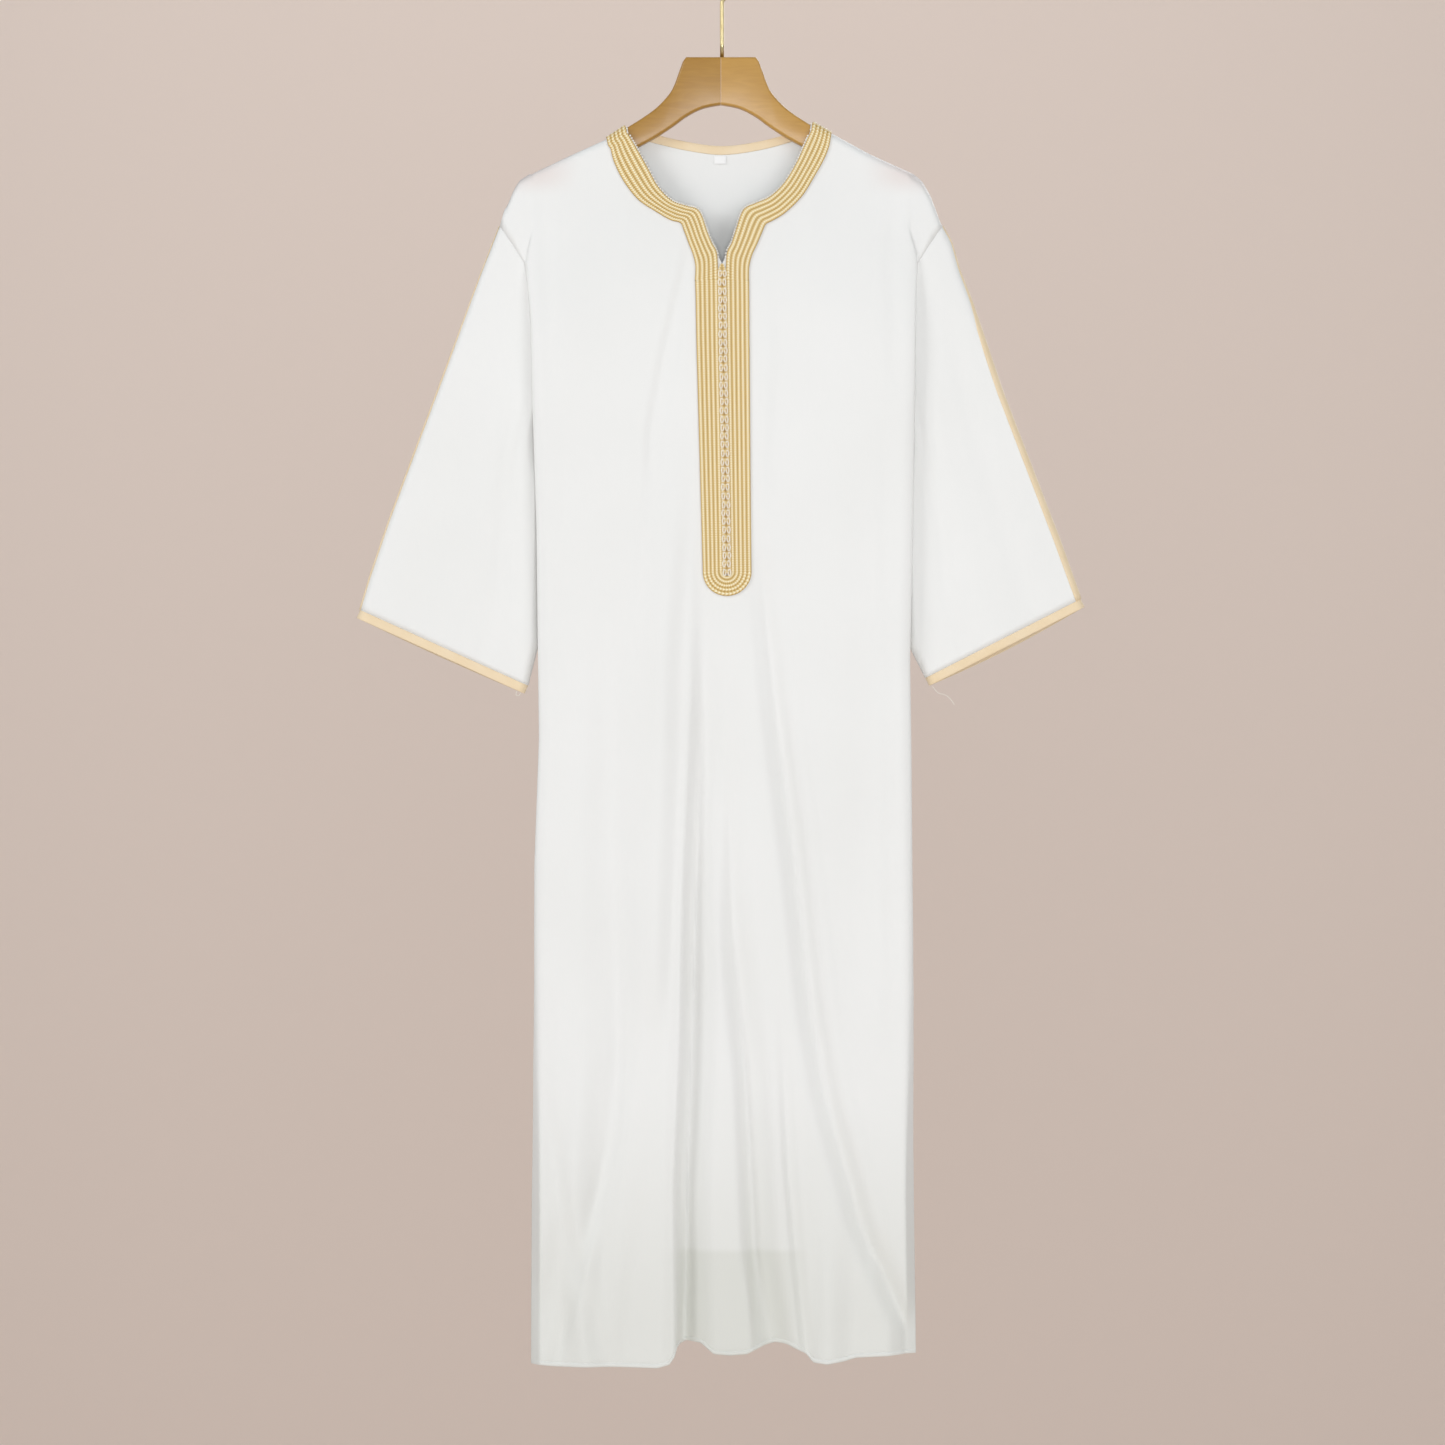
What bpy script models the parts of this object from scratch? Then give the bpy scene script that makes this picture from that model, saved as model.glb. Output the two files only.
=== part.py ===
"""Ankle-length thobe robe on a wooden hanger.

The robe's front faces -Y and +Z is up. The origin is the inside top of the hook's crook, where a rail
carries it. Tables and sizes are in millimetres, and each mesh is scaled to metres as it is made.
"""

from collections import namedtuple
import math

import bmesh
import bpy
from mathutils import Vector
from mathutils.bvhtree import BVHTree
import numpy as np

MM = 0.001

# Cloth and seams
WALL = 1.2
SEAM_GAP = 0.3
EDGE_Y = 0.4
SIDE_SEAM_Y = 0.5
SHOULDER_ROUND = 9.0
CHEST_FALL = 16.0
CHEST_RUN = 200.0
BACK_FALL = 11.0
BACK_INSET = 1.5

# Side fold of the body, where the front laps over the sleeve
FOLD_FADE_Z = -800.0
SLIT_TOP_Z = -1367.0
HEM_EDGE_Y = 9.0

# Sleeves and bindings
SLEEVE_ROUND = 0.045
SLEEVE_DEPTH = 8.5
SLEEVE_BELLY = 2.5
SLEEVE_LAP = 2.6
UNDER_GAP = 6.5
BINDING_WALL = 1.8
BINDING_WIDTH = 9.5
NECK_SEAM = 0.8
TAPE_WALL = 0.8
TAPE_LIFT = WALL / 2 + SEAM_GAP + TAPE_WALL / 2 + 0.6

# Braid and buttons
BRAID_BASE = 0.9
BRAID_RIDGE = 1.0
BRAID_ROWS = 5
BRAID_LIFT = WALL / 2 + 0.9
CHANNEL_HALF = 4.4
BRAID_END_Z = -673.0
BRAID_END_HALF = 26.5
STRIP_HALF = 3.9
STRIP_WALL = 0.7
BUTTON_COUNT = 36
BUTTON_TOP_Z = -345.0
BUTTON_SIZE = (7.0, 4.0, 6.6)

# Hanger and hook
HANGER_THICK = 14.0
HANGER_MID_X = -1.2
HANGER_JOINT = 0.3
HANGER_DROP = 3.0
HANGER_EDGE = 6.0
HANGER_TOP_Z = -105.0
ARM_END_X = 208.0
HOOK_WIRE = 4.4
CROOK_RADIUS = 19.0 + HOOK_WIRE / 2

# Label
LABEL_SIZE = (13.0, 0.6, 9.0)
LABEL_PLACE = (-2.2, -217.0)


def table(columns, *rows):
    """A short table with named columns, each column as an array."""
    return namedtuple("Table", columns)(*np.array(rows, float).T)


SHOULDER = table(
    "x z",
    (-237, -270), (-229, -250.6), (-223, -241.7), (-207, -231.9), (-168, -213.4), (-128.7, -195.6),
    (-105, -180), (100, -177), (123, -189.9), (162, -211.2), (209, -232.5), (220.4, -241.5),
    (229.5, -257.2), (240.7, -286.4),
)
NECKLINE = table(
    "x z",
    (-101.9, -193), (-94.1, -206.5), (-82.8, -226.6), (-70.4, -249.1), (-55, -264.8), (-39.1, -270.6),
    (-27.8, -273.9), (-22.2, -281.6), (-11, -312), (-0.2, -334.4), (5.8, -323.4), (14.9, -298.5),
    (21.6, -278.3), (27.2, -271.7), (37.4, -267.3), (52.8, -260.3), (68.8, -244.6), (82.2, -222.2),
    (92.4, -199.7),
)
BACK_NECK = table(
    "x z",
    (-98, -192), (-79, -197), (-40, -206), (0, -210.9), (40, -206), (77, -196.5), (92, -190),
)
# The neck edges roll over the hanger's arms at their ends: how far in and how far down each point lies.
NECK_ENDS = (-106.4, 100.1)
NECK_ROLL = table("inward drop", (0, 0), (0.5, 1.2), (1, 3.7), (1.5, 9.5))
BODY_SIDE = table(
    "z left right",
    (-1532, -210, 213.4), (-1365, -209.6, 211.3), (-1140, -206.5, 210.5), (-1000, -206, 209),
    (-860, -201, 207.8), (-770, -202, 206.5), (-625, -203.7, 209.6), (-484, -208.3, 211.6),
    (-390, -210, 212.5), (-300, -217, 215.2), (-240, -217, 215.6),
)
HEM = table(
    "x z",
    (-209.4, -1530), (-204.7, -1544), (-181, -1546.3), (-118, -1546.3), (-70.5, -1548), (-58, -1544),
    (-51.7, -1534.5), (-49, -1523.5), (-38.9, -1519.5), (-23, -1521), (-9, -1532.5), (8.4, -1534),
    (27.3, -1532.5), (46.2, -1523.7), (58.9, -1520.5), (71.5, -1522), (84.2, -1528), (93.5, -1533),
    (100, -1541.6), (115.7, -1543.3), (134.6, -1540), (147.3, -1536.3), (182, -1534.7), (213.4, -1532),
)
# The armhole seam from the shoulder's end down to the underarm, for the right side; depth is from y = 0.
ARMHOLE = table(
    "x z depth",
    (243, -291.5, 0.4), (236, -302, 8), (229, -312, 9.2), (215.6, -333, 10), (208, -352, 9.5),
    (201, -378, 9), (198, -412, 9), (197, -448, 8.5), (197, -478, 5.5), (197, -502, 0.6),
)
OVER_ARM = {
    1: table(
        "x z",
        (243.4, -291.8), (253, -308.8), (262, -340.3), (275.5, -374), (287, -407.6), (309, -472.7),
        (372.5, -638), (395.5, -702.5),
    ),
    -1: table(
        "x z",
        (-245, -291.8), (-255, -317.4), (-265, -342.9), (-289, -407.6), (-310, -464), (-367, -616),
        (-388, -677.6), (-399, -714.5),
    ),
}
UNDER_ARM = {
    1: table("x z", (204, -503), (204, -640), (207, -755), (224.4, -789.5)),
    -1: table("x z", (-205, -503), (-203, -640), (-203, -755), (-214, -798)),
}
# How much lower the cuff's back layer hangs at its middle
CUFF_BACK_DROP = {1: 4.0, -1: 1.5}

# How far across the sleeve each lengthwise line of points lies, from the over-arm seam to the underarm seam
ACROSS = (0, 0.014, 0.04, 0.09, 0.2, 0.33, 0.47, 0.61, 0.75, 0.87, 0.945, 0.982, 1.0)
SEAM_ROWS = 7
SLIT_ROWS = 3
SLEEVE_ROWS = 8

Fold = namedtuple("Fold", "path left right depth start full")
# Folds of the front: points down each valley (a ridge has a negative depth), width to either side, and the
# heights at which it starts and is at its full depth.
FRONT_FOLDS = (
    Fold(((39, -640), (58, -829), (79, -992), (96, -1150), (113, -1252), (152, -1395), (201, -1504)),
         20, 30, 8, -560, -950),
    Fold(((-21, -560), (-24, -800), (-33, -1034), (-36, -1209), (-43, -1350), (-40, -1540)),
         13, 34, 19, -560, -1250),
    Fold(((4, -800), (11, -1069), (29, -1230), (38, -1420), (58, -1540)), 20, 28, 15, -760, -1420),
    Fold(((-52, -560), (-66, -765), (-69, -905), (-75, -1100)), 34, 24, -5, -480, -760),
    Fold(((-119, -700), (-122, -960), (-116, -1209), (-140, -1350), (-185, -1470)), 40, 30, 5, -640, -950),
    Fold(((-150, -1200), (-160, -1380), (-150, -1540)), 26, 30, -7, -1180, -1400),
    Fold(((118, -1300), (116, -1420), (116, -1540)), 20, 30, -6, -1330, -1500),
)
BACK_FOLDS = (
    Fold(((-60, -420), (-72, -900), (-96, -1540)), 40, 34, 9, -420, -1100),
    Fold(((20, -420), (24, -900), (16, -1540)), 42, 44, -8, -520, -1200),
    Fold(((92, -420), (108, -900), (130, -1540)), 34, 40, 9, -420, -1100),
    Fold(((-150, -700), (-156, -1100), (-160, -1540)), 26, 26, -6, -760, -1300),
)


def smooth(t):
    """0 to 1 with level ends."""
    t = min(max(t, 0.0), 1.0)
    return t * t * (3 - 2 * t)


def mix(a, b, t):
    return a + (b - a) * t


def quarter(t):
    """A quarter circle: 0 at 0, 1 from 1 on, upright at its start."""
    t = min(max(t, 0.0), 1.0)
    return math.sqrt(1 - (1 - t) ** 2)


def shoulder_z(x):
    return float(np.interp(x, SHOULDER.x, SHOULDER.z))


def fold_depth(folds, x, z):
    """How far the folds move the cloth inwards at a place."""
    total = 0.0
    for fold in folds:
        path = np.array(fold.path, float)[::-1]
        across = x - float(np.interp(z, path[:, 1], path[:, 0]))
        width = fold.left if across < 0 else fold.right
        shape = 0.5 + 0.5 * math.cos(math.pi * min(abs(across) / width, 1.0))
        total += fold.depth * shape * smooth((fold.start - z) / (fold.start - fold.full))
    return total


def rolled_neck(inner):
    """A neck edge with its ends rolled over the hanger's arms, as arrays of x and z."""
    low, high = NECK_ENDS
    left_x, right_x = low + NECK_ROLL.inward, high - NECK_ROLL.inward[::-1]
    left_z = cloth_top(low) - NECK_ROLL.drop
    right_z = cloth_top(high) - NECK_ROLL.drop[::-1]
    return np.concatenate([left_x, inner.x, right_x]), np.concatenate([left_z, inner.z, right_z])


def cloth_top(x):
    """The height of the cloth's middle where it lies over the shoulder line."""
    return shoulder_z(x) - WALL / 2


def front_y(x, z):
    drop = max(cloth_top(x) - z, 0.0)
    depth = EDGE_Y + SHOULDER_ROUND * quarter(drop / SHOULDER_ROUND)
    depth += CHEST_FALL * smooth((drop - SHOULDER_ROUND) / CHEST_RUN)
    return -depth + fold_depth(FRONT_FOLDS, x, z)


def back_y(x, z):
    drop = max(cloth_top(x) - z, 0.0)
    depth = EDGE_Y + SHOULDER_ROUND * quarter(drop / SHOULDER_ROUND)
    depth += BACK_FALL * smooth((drop - SHOULDER_ROUND) / CHEST_RUN)
    return depth - fold_depth(BACK_FOLDS, x, z)


def armhole_point(t, side, facing):
    """A point of the armhole seam. side is 1 on the right, facing is -1 on the front panel."""
    steps = np.hypot(np.diff(ARMHOLE.x), np.diff(ARMHOLE.z))
    along = np.concatenate([[0.0], np.cumsum(steps)]) / steps.sum()
    x = float(np.interp(t, along, ARMHOLE.x))
    z = float(np.interp(t, along, ARMHOLE.z))
    depth = float(np.interp(t, along, ARMHOLE.depth))
    if t < along[1]:
        depth = mix(ARMHOLE.depth[0], ARMHOLE.depth[1], quarter(t / along[1]))
    x_left_shift = 2.0 if side < 0 else 0.0
    return Vector((side * x - x_left_shift, facing * depth, z))


def body_edge(z, side):
    column = BODY_SIDE.right if side > 0 else BODY_SIDE.left
    return float(np.interp(z, BODY_SIDE.z, column))


def fold_amount(z):
    """How far the body's side is folded in below the underarm: 1 is fully, 0 is flat."""
    return 1 - smooth((FOLD_FADE_Z - z) / (FOLD_FADE_Z - SLIT_TOP_Z))


SIDE_REACH = 14.0
SIDE_FOLDED = table("x step", (-10, 0), (-3, 0.08), (0, 0.20), (-1.5, 0.33), (-5, 0.43), (-SIDE_REACH, 1))
SIDE_FLAT = table("x step", (-10, 0), (-8, 0.15), (-6, 0.35), (-4, 0.55), (-2, 0.78), (0, 1))
EDGE_IN = 10.0
ARM_STEPS = (0.22, 0.42, 0.62, 0.82)
# The share of the armhole over which the shoulder's rounded end dies away
SHOULDER_END = 0.25


def shoulder_rise(x, side):
    """How far the rounded end of the shoulder stands over a straight line from its arm to the armhole."""
    start, end = side * ARM_END_X, armhole_point(0, side, 1)
    share = min(max((x - start) / (end.x - start), 0.0), 1.0)
    return cloth_top(x) - mix(cloth_top(start), end.z, share)


def side_points(start, end, edge_x, side, rise):
    """The points across the body's side, between its main surface and its seam."""
    fold = min(max((abs(edge_x) - abs(end.x)) / SIDE_REACH, 0.0), 1.0)
    places = mix(SIDE_FLAT.x, SIDE_FOLDED.x, fold)
    places = places - places.max()
    steps = mix(SIDE_FLAT.step, SIDE_FOLDED.step, fold)
    points = []
    for k in range(1, 5):
        share = k / 5
        flat = start.lerp(end, ARM_STEPS[k - 1])
        flat.z += rise * shoulder_rise(flat.x, side)
        folded_y = mix(start.y, end.y, steps[k])
        folded = Vector((edge_x + side * places[k], folded_y, mix(start.z, end.z, share)))
        open_arm = smooth((abs(end.x) - abs(edge_x)) / 4)
        points.append(folded.lerp(flat, open_arm))
    return points


def seam_point(z, side, facing):
    """A point of the side seam below the underarm, or of the slit's edge below the seam."""
    fold = fold_amount(z)
    reach = mix(0.0, SIDE_REACH, fold)
    opening = smooth((SLIT_TOP_Z - z) / 150)
    y = mix(SIDE_SEAM_Y, HEM_EDGE_Y, opening)
    return Vector((body_edge(z, side) - side * reach, facing * y, z))


def panel_rows():
    """The share of the way down to the hem of each row of points, and the seam height of each lower row."""
    top = cloth_top(210)
    span = top - float(HEM.z[0])
    under = float(ARMHOLE.z[-1])
    shares = [t * (top - under) / span for t in ACROSS]
    seam = list(np.linspace(under, SLIT_TOP_Z, SEAM_ROWS + 1)[1:])
    slit = list(np.linspace(SLIT_TOP_Z, float(HEM.z[0]), SLIT_ROWS + 1)[1:])
    shares += [(top - z) / span for z in seam + slit]
    return shares, seam + slit


SHOULDER_LEFT = (-210, -190, -170, -149, -127)
SHOULDER_RIGHT = (121, 143, 165, 187, 208.6)


def panel_grid(neck, surface, facing, inset):
    """Rows of points over one body panel, from one side seam round to the other."""
    shares, seam_heights = panel_rows()
    neck_x, neck_z = rolled_neck(neck)
    tops = [*SHOULDER_LEFT, *neck_x, *SHOULDER_RIGHT]
    reference = (tops[0], tops[-1])
    count = len(tops)
    grid = []
    for number, share in enumerate(shares):
        row = []
        for k, top_x in enumerate(tops):
            over_neck = neck_x[0] <= top_x <= neck_x[-1]
            start_z = float(np.interp(top_x, neck_x, neck_z)) if over_neck else cloth_top(top_x)
            hem_z = float(np.interp(top_x, HEM.x, HEM.z))
            z = mix(start_z, hem_z, share)
            low, high = body_edge(z, -1) + EDGE_IN + inset, body_edge(z, 1) - EDGE_IN - inset
            along = (top_x - reference[0]) / (reference[1] - reference[0])
            even = mix(along, k / (count - 1), smooth((-720 - z) / 350))
            x = mix(low, high, even)
            if share == 0:
                x = top_x
            hem_z = float(np.interp(x, HEM.x, HEM.z))
            z = mix(start_z, hem_z, share)
            row.append(Vector((x, surface(x, z), z)))
        ends = []
        for side, start in ((-1, row[0]), (1, row[-1])):
            rise = 0.0
            if number < len(ACROSS):
                end = armhole_point(ACROSS[number], side, facing)
                rise = 1 - smooth(ACROSS[number] / SHOULDER_END)
            else:
                end = seam_point(seam_heights[number - len(ACROSS)], side, facing)
            edge_x = body_edge(start.z, side) - side * inset
            ends.append([*side_points(start, end, edge_x, side, rise), end])
        grid.append([*reversed(ends[0]), *row, *ends[1]])
    return grid


def sleeve_grid(side, facing):
    """Rows of points over half a sleeve, from the armhole down to the cuff line."""
    over, under = OVER_ARM[side], UNDER_ARM[side]
    grid = []
    for i in range(SLEEVE_ROWS + 1):
        s = i / SLEEVE_ROWS
        row = []
        over_z = mix(over.z[0], over.z[-1], s)
        under_z = mix(under.z[0], under.z[-1], s)
        outer = Vector((np.interp(-over_z, -over.z, over.x), 0, over_z))
        inner = Vector((np.interp(-under_z, -under.z, under.x), 0, under_z))
        for t in ACROSS:
            seam = armhole_point(t, side, facing)
            tucked = smooth((t - 0.01) / 0.15)
            start_y = max(abs(seam.y) - SLEEVE_LAP * tucked, EDGE_Y)
            seam.x += side * (0.35 + UNDER_GAP * smooth((t - 0.55) / 0.4))
            seam.z -= 0.25 * (1 - tucked)
            cuff = Vector((mix(over.x[-1], under.x[-1], t), 0, mix(over.z[-1], under.z[-1], t)))
            if facing > 0:
                cuff.z -= CUFF_BACK_DROP[side] * math.sin(math.pi * t)
            straight = outer.lerp(inner, t)
            top_bend = seam - Vector((mix(over.x[0], under.x[0], t), 0, mix(over.z[0], under.z[0], t)))
            low_bend = cuff - Vector((mix(over.x[-1], under.x[-1], t), 0, mix(over.z[-1], under.z[-1], t)))
            place = straight + top_bend * (1 - s) + low_bend * s
            rounded = quarter(t / SLEEVE_ROUND) * quarter((1 - t) / SLEEVE_ROUND)
            depth = EDGE_Y + SLEEVE_DEPTH * rounded + SLEEVE_BELLY * math.sin(math.pi * t)
            depth = mix(start_y, depth, smooth(s / 0.3))
            row.append(Vector((place.x, facing * depth, place.z)))
        grid.append(row)
    return grid


def material(name, colour, roughness, metallic=0.0):
    found = bpy.data.materials.new(name)
    found.use_nodes = True
    shader = found.node_tree.nodes["Principled BSDF"]
    shader.inputs["Base Color"].default_value = (*colour, 1.0)
    shader.inputs["Roughness"].default_value = roughness
    shader.inputs["Metallic"].default_value = metallic
    found.diffuse_color = (*colour, 1.0)
    return found


def add_object(name, mesh_builder, finish):
    """One named piece from a bmesh in millimetres, scaled to metres."""
    bmesh.ops.recalc_face_normals(mesh_builder, faces=mesh_builder.faces)
    bmesh.ops.scale(mesh_builder, vec=(MM, MM, MM), verts=mesh_builder.verts)
    mesh = bpy.data.meshes.new(name)
    mesh_builder.to_mesh(mesh)
    mesh_builder.free()
    mesh.shade_smooth()
    piece = bpy.data.objects.new(name, mesh)
    piece.data.materials.append(finish)
    bpy.context.scene.collection.objects.link(piece)
    return piece


def grid_faces(builder, grid, closed=False):
    """Faces between rows of points, round to the first row's side again where the rows are rings."""
    verts = [[builder.verts.new(p) for p in row] for row in grid]
    for upper, lower in zip(verts, verts[1:]):
        width = len(upper)
        for k in range(width if closed else width - 1):
            n = (k + 1) % width
            builder.faces.new((upper[k], upper[n], lower[n], lower[k]))
    return verts


def cloth(name, grid, wall, finish, closed=False):
    """A thin wall over a grid of points."""
    builder = bmesh.new()
    grid_faces(builder, grid, closed)
    piece = add_object(name, builder, finish)
    thickness = piece.modifiers.new("wall", "SOLIDIFY")
    thickness.thickness = wall * MM
    thickness.offset = 0.0
    return piece


def between_layers(name, under, over, finish):
    """A closed solid between an under grid and an over grid of the same size."""
    builder = bmesh.new()
    low = grid_faces(builder, under)
    high = grid_faces(builder, over)

    def rim(low_line, high_line):
        for k in range(len(low_line) - 1):
            builder.faces.new((low_line[k], low_line[k + 1], high_line[k + 1], high_line[k]))

    rim(low[0], high[0])
    rim(low[-1], high[-1])
    rim([row[0] for row in low], [row[0] for row in high])
    rim([row[-1] for row in low], [row[-1] for row in high])
    return add_object(name, builder, finish)


class FrontSurface:
    """The faceted front panel, for whatever lies on it."""

    def __init__(self, grid):
        points = [p for row in grid for p in row]
        width = len(grid[0])
        faces = []
        for i in range(len(grid) - 1):
            for k in range(width - 1):
                a = i * width + k
                faces.append((a, a + 1, a + width + 1, a + width))
        self.tree = BVHTree.FromPolygons(points, faces)

    def lifted(self, x, z, lift):
        """The point over a place on the front, lifted off the cloth along its slope."""
        hit = self.tree.ray_cast(Vector((x, -200, z)), Vector((0, 1, 0)))[0]
        y = hit.y if hit else front_y(x, z)
        step = 1.5
        slope = Vector((
            (front_y(x + step, z) - front_y(x - step, z)) / (2 * step),
            -1.0,
            (front_y(x, min(z + step, shoulder_z(x))) - front_y(x, z - step)) / (2 * step),
        )).normalized()
        return Vector((x, y, z)) + slope * lift


def placket_middle(z):
    return float(np.interp(z, (-673, -418, -334), (5.5, 1.0, 0.0)))


def placket_half(z):
    return float(np.interp(z, (BRAID_END_Z, -418, -334), (BRAID_END_HALF, 29.0, 29.5)))


BRAID_NECK = {
    -1: table(
        "in_x in_z out_x out_z",
        (-94.1, -206.5, -118.5, -222),
        (-82.8, -226.6, -108, -243), (-70.4, -249.1, -92, -263.5), (-55, -264.8, -72, -277),
        (-39.1, -270.6, -57, -285.8), (-27.8, -273.9, -45.8, -289.3), (-22.2, -281.6, -42, -297.5),
        (-16.5, -298.5, -37, -311), (-11, -312, -31.5, -325), (-5.5, -324, -28.5, -338),
    ),
    1: table(
        "in_x in_z out_x out_z",
        (91, -203, 113, -217),
        (82.2, -222.2, 102, -237), (68.8, -244.6, 88, -259.5), (52.8, -260.3, 70, -277.5),
        (37.4, -267.3, 56, -286.5), (27.2, -271.7, 48.4, -290.7), (21.6, -278.3, 44, -300),
        (14.9, -298.5, 38.5, -313), (10.5, -312, 33, -325), (5.3, -324, 29.5, -338),
    ),
}
BRAID_START_DROPS = (11.5,)
BRAID_START_WIDTH = 19.5
PLACKET_ROWS = 13
END_STEPS = 8


def braid_sections():
    """Inner and outer points of the braid's cross-sections, from the left shoulder round to the right."""
    def neck(side):
        found = []
        end = NECK_ENDS[0] if side < 0 else NECK_ENDS[1]
        for drop in BRAID_START_DROPS:
            x = end - side * float(np.interp(drop, NECK_ROLL.drop, NECK_ROLL.inward))
            out_x = x + side * BRAID_START_WIDTH
            found.append(((x, cloth_top(x) - drop), (out_x, cloth_top(out_x) - drop)))
        rows = BRAID_NECK[side]
        found += [((a, b), (c, d)) for a, b, c, d in zip(rows.in_x, rows.in_z, rows.out_x, rows.out_z)]
        return found

    def placket(side):
        found = []
        for z in np.linspace(-352, BRAID_END_Z, PLACKET_ROWS):
            middle = placket_middle(z)
            found.append(((middle + side * CHANNEL_HALF, z), (middle + side * placket_half(z), z)))
        return found

    middle = placket_middle(BRAID_END_Z)
    end = []
    for k in range(1, END_STEPS):
        angle = math.pi + math.pi * k / END_STEPS
        across, down = math.cos(angle), math.sin(angle)
        end.append((
            (middle + CHANNEL_HALF * across, BRAID_END_Z + CHANNEL_HALF * down),
            (middle + BRAID_END_HALF * across, BRAID_END_Z + BRAID_END_HALF * down),
        ))
    return neck(-1) + placket(-1) + end + placket(1)[::-1] + neck(1)[::-1]


def make_braid(surface, finish):
    under, over = [], []
    steps = 2 * BRAID_ROWS
    for inner, outer in braid_sections():
        low, high = [], []
        for k in range(steps + 1):
            share = k / steps
            x, z = mix(inner[0], outer[0], share), mix(inner[1], outer[1], share)
            ridge = BRAID_RIDGE if k % 2 else 0.0
            low.append(surface.lifted(x, z, BRAID_LIFT))
            high.append(surface.lifted(x, z, BRAID_LIFT + BRAID_BASE + ridge))
        under.append(low)
        over.append(high)
    return between_layers("neck_braid", under, over, finish)


def make_button_strip(surface, finish):
    under, over = [], []
    for z in np.linspace(-340, BRAID_END_Z + 2, 12):
        middle = placket_middle(z)
        places = [middle + STRIP_HALF * across for across in (-1, 0, 1)]
        under.append([surface.lifted(x, z, BRAID_LIFT) for x in places])
        over.append([surface.lifted(x, z, BRAID_LIFT + STRIP_WALL) for x in places])
    return between_layers("button_strip", under, over, finish)


def make_buttons(surface, finish):
    lift = BRAID_LIFT + STRIP_WALL + SEAM_GAP + BUTTON_SIZE[1] / 2
    for number, z in enumerate(np.linspace(BUTTON_TOP_Z, BRAID_END_Z, BUTTON_COUNT), 1):
        place = surface.lifted(placket_middle(z), z, lift)
        builder = bmesh.new()
        bmesh.ops.create_uvsphere(builder, u_segments=8, v_segments=4, radius=0.5)
        bmesh.ops.scale(builder, vec=BUTTON_SIZE, verts=builder.verts)
        bmesh.ops.translate(builder, vec=place, verts=builder.verts)
        add_object(f"button_{number:02d}", builder, finish)


def make_cuff(side, name, front, back, finish):
    """The binding ring that hangs on from the ends of the sleeve's two halves."""
    down = Vector((front[-1][-1].z - front[-1][0].z, 0, front[-1][0].x - front[-1][-1].x)).normalized()
    if down.z > 0:
        down = -down
    rings = []
    for drop in (SEAM_GAP, SEAM_GAP + BINDING_WIDTH / 2, SEAM_GAP + BINDING_WIDTH):
        ends = [Vector((p.x, 0, p.z)) for p in (front[-1][0], front[-1][-1])]
        ring = [ends[0], *front[-1][1:-1], ends[1], *reversed(back[-1][1:-1])]
        ring = [p + down * drop for p in ring]
        rings.append(ring)
    return cloth(name, rings, BINDING_WALL, finish, closed=True)


def make_tape(name, front, back, front_count, back_count, finish):
    """The tape round the over-arm seam, on the sleeve's own points moved out."""
    rows = []
    for i in range(len(front)):
        edge = Vector((front[i][0].x, 0, front[i][0].z))
        line = [front[i][k] for k in range(front_count, 0, -1)] + [edge]
        line += [back[i][k] for k in range(1, back_count + 1)]
        rows.append(line)
    builder = bmesh.new()
    verts = grid_faces(builder, rows)
    builder.normal_update()
    edge_normal = verts[-1][front_count].normal
    lift = math.copysign(TAPE_LIFT, edge_normal.x * rows[-1][front_count].x)
    moved = [[v.co + v.normal * lift for v in row] for row in verts]
    builder.free()
    return cloth(name, moved, TAPE_WALL, finish)


def make_back_binding(finish):
    """The cream binding that stands on the back panel's neck edge."""
    rows = []
    for drop in (NECK_SEAM, NECK_SEAM + BINDING_WIDTH / 2, BINDING_WIDTH):
        row = []
        for x, edge_z in zip(BACK_NECK.x, BACK_NECK.z):
            row.append(Vector((x, back_y(x, edge_z), edge_z + drop)))
        rows.append(row)
    return cloth("back_neck_binding", rows, BINDING_WALL, finish)


HANGER_TOP = table("x z", (0, -105), (38.3, -105), (42, -110), (46, -121), (51.5, -136), (57.5, -146.5),
                   (70, -160), (84, -170.5), (103, -182.5))
HANGER_UNDER = table("x z", (0, -157.6), (20, -161.5), (38, -170.5), (53, -181.5), (73.5, -194.7),
                     (96, -206.5), (130, -221), (170, -238), (200, -249))
ARM_TOP_X = (125, 160, 190, 202)


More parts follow.
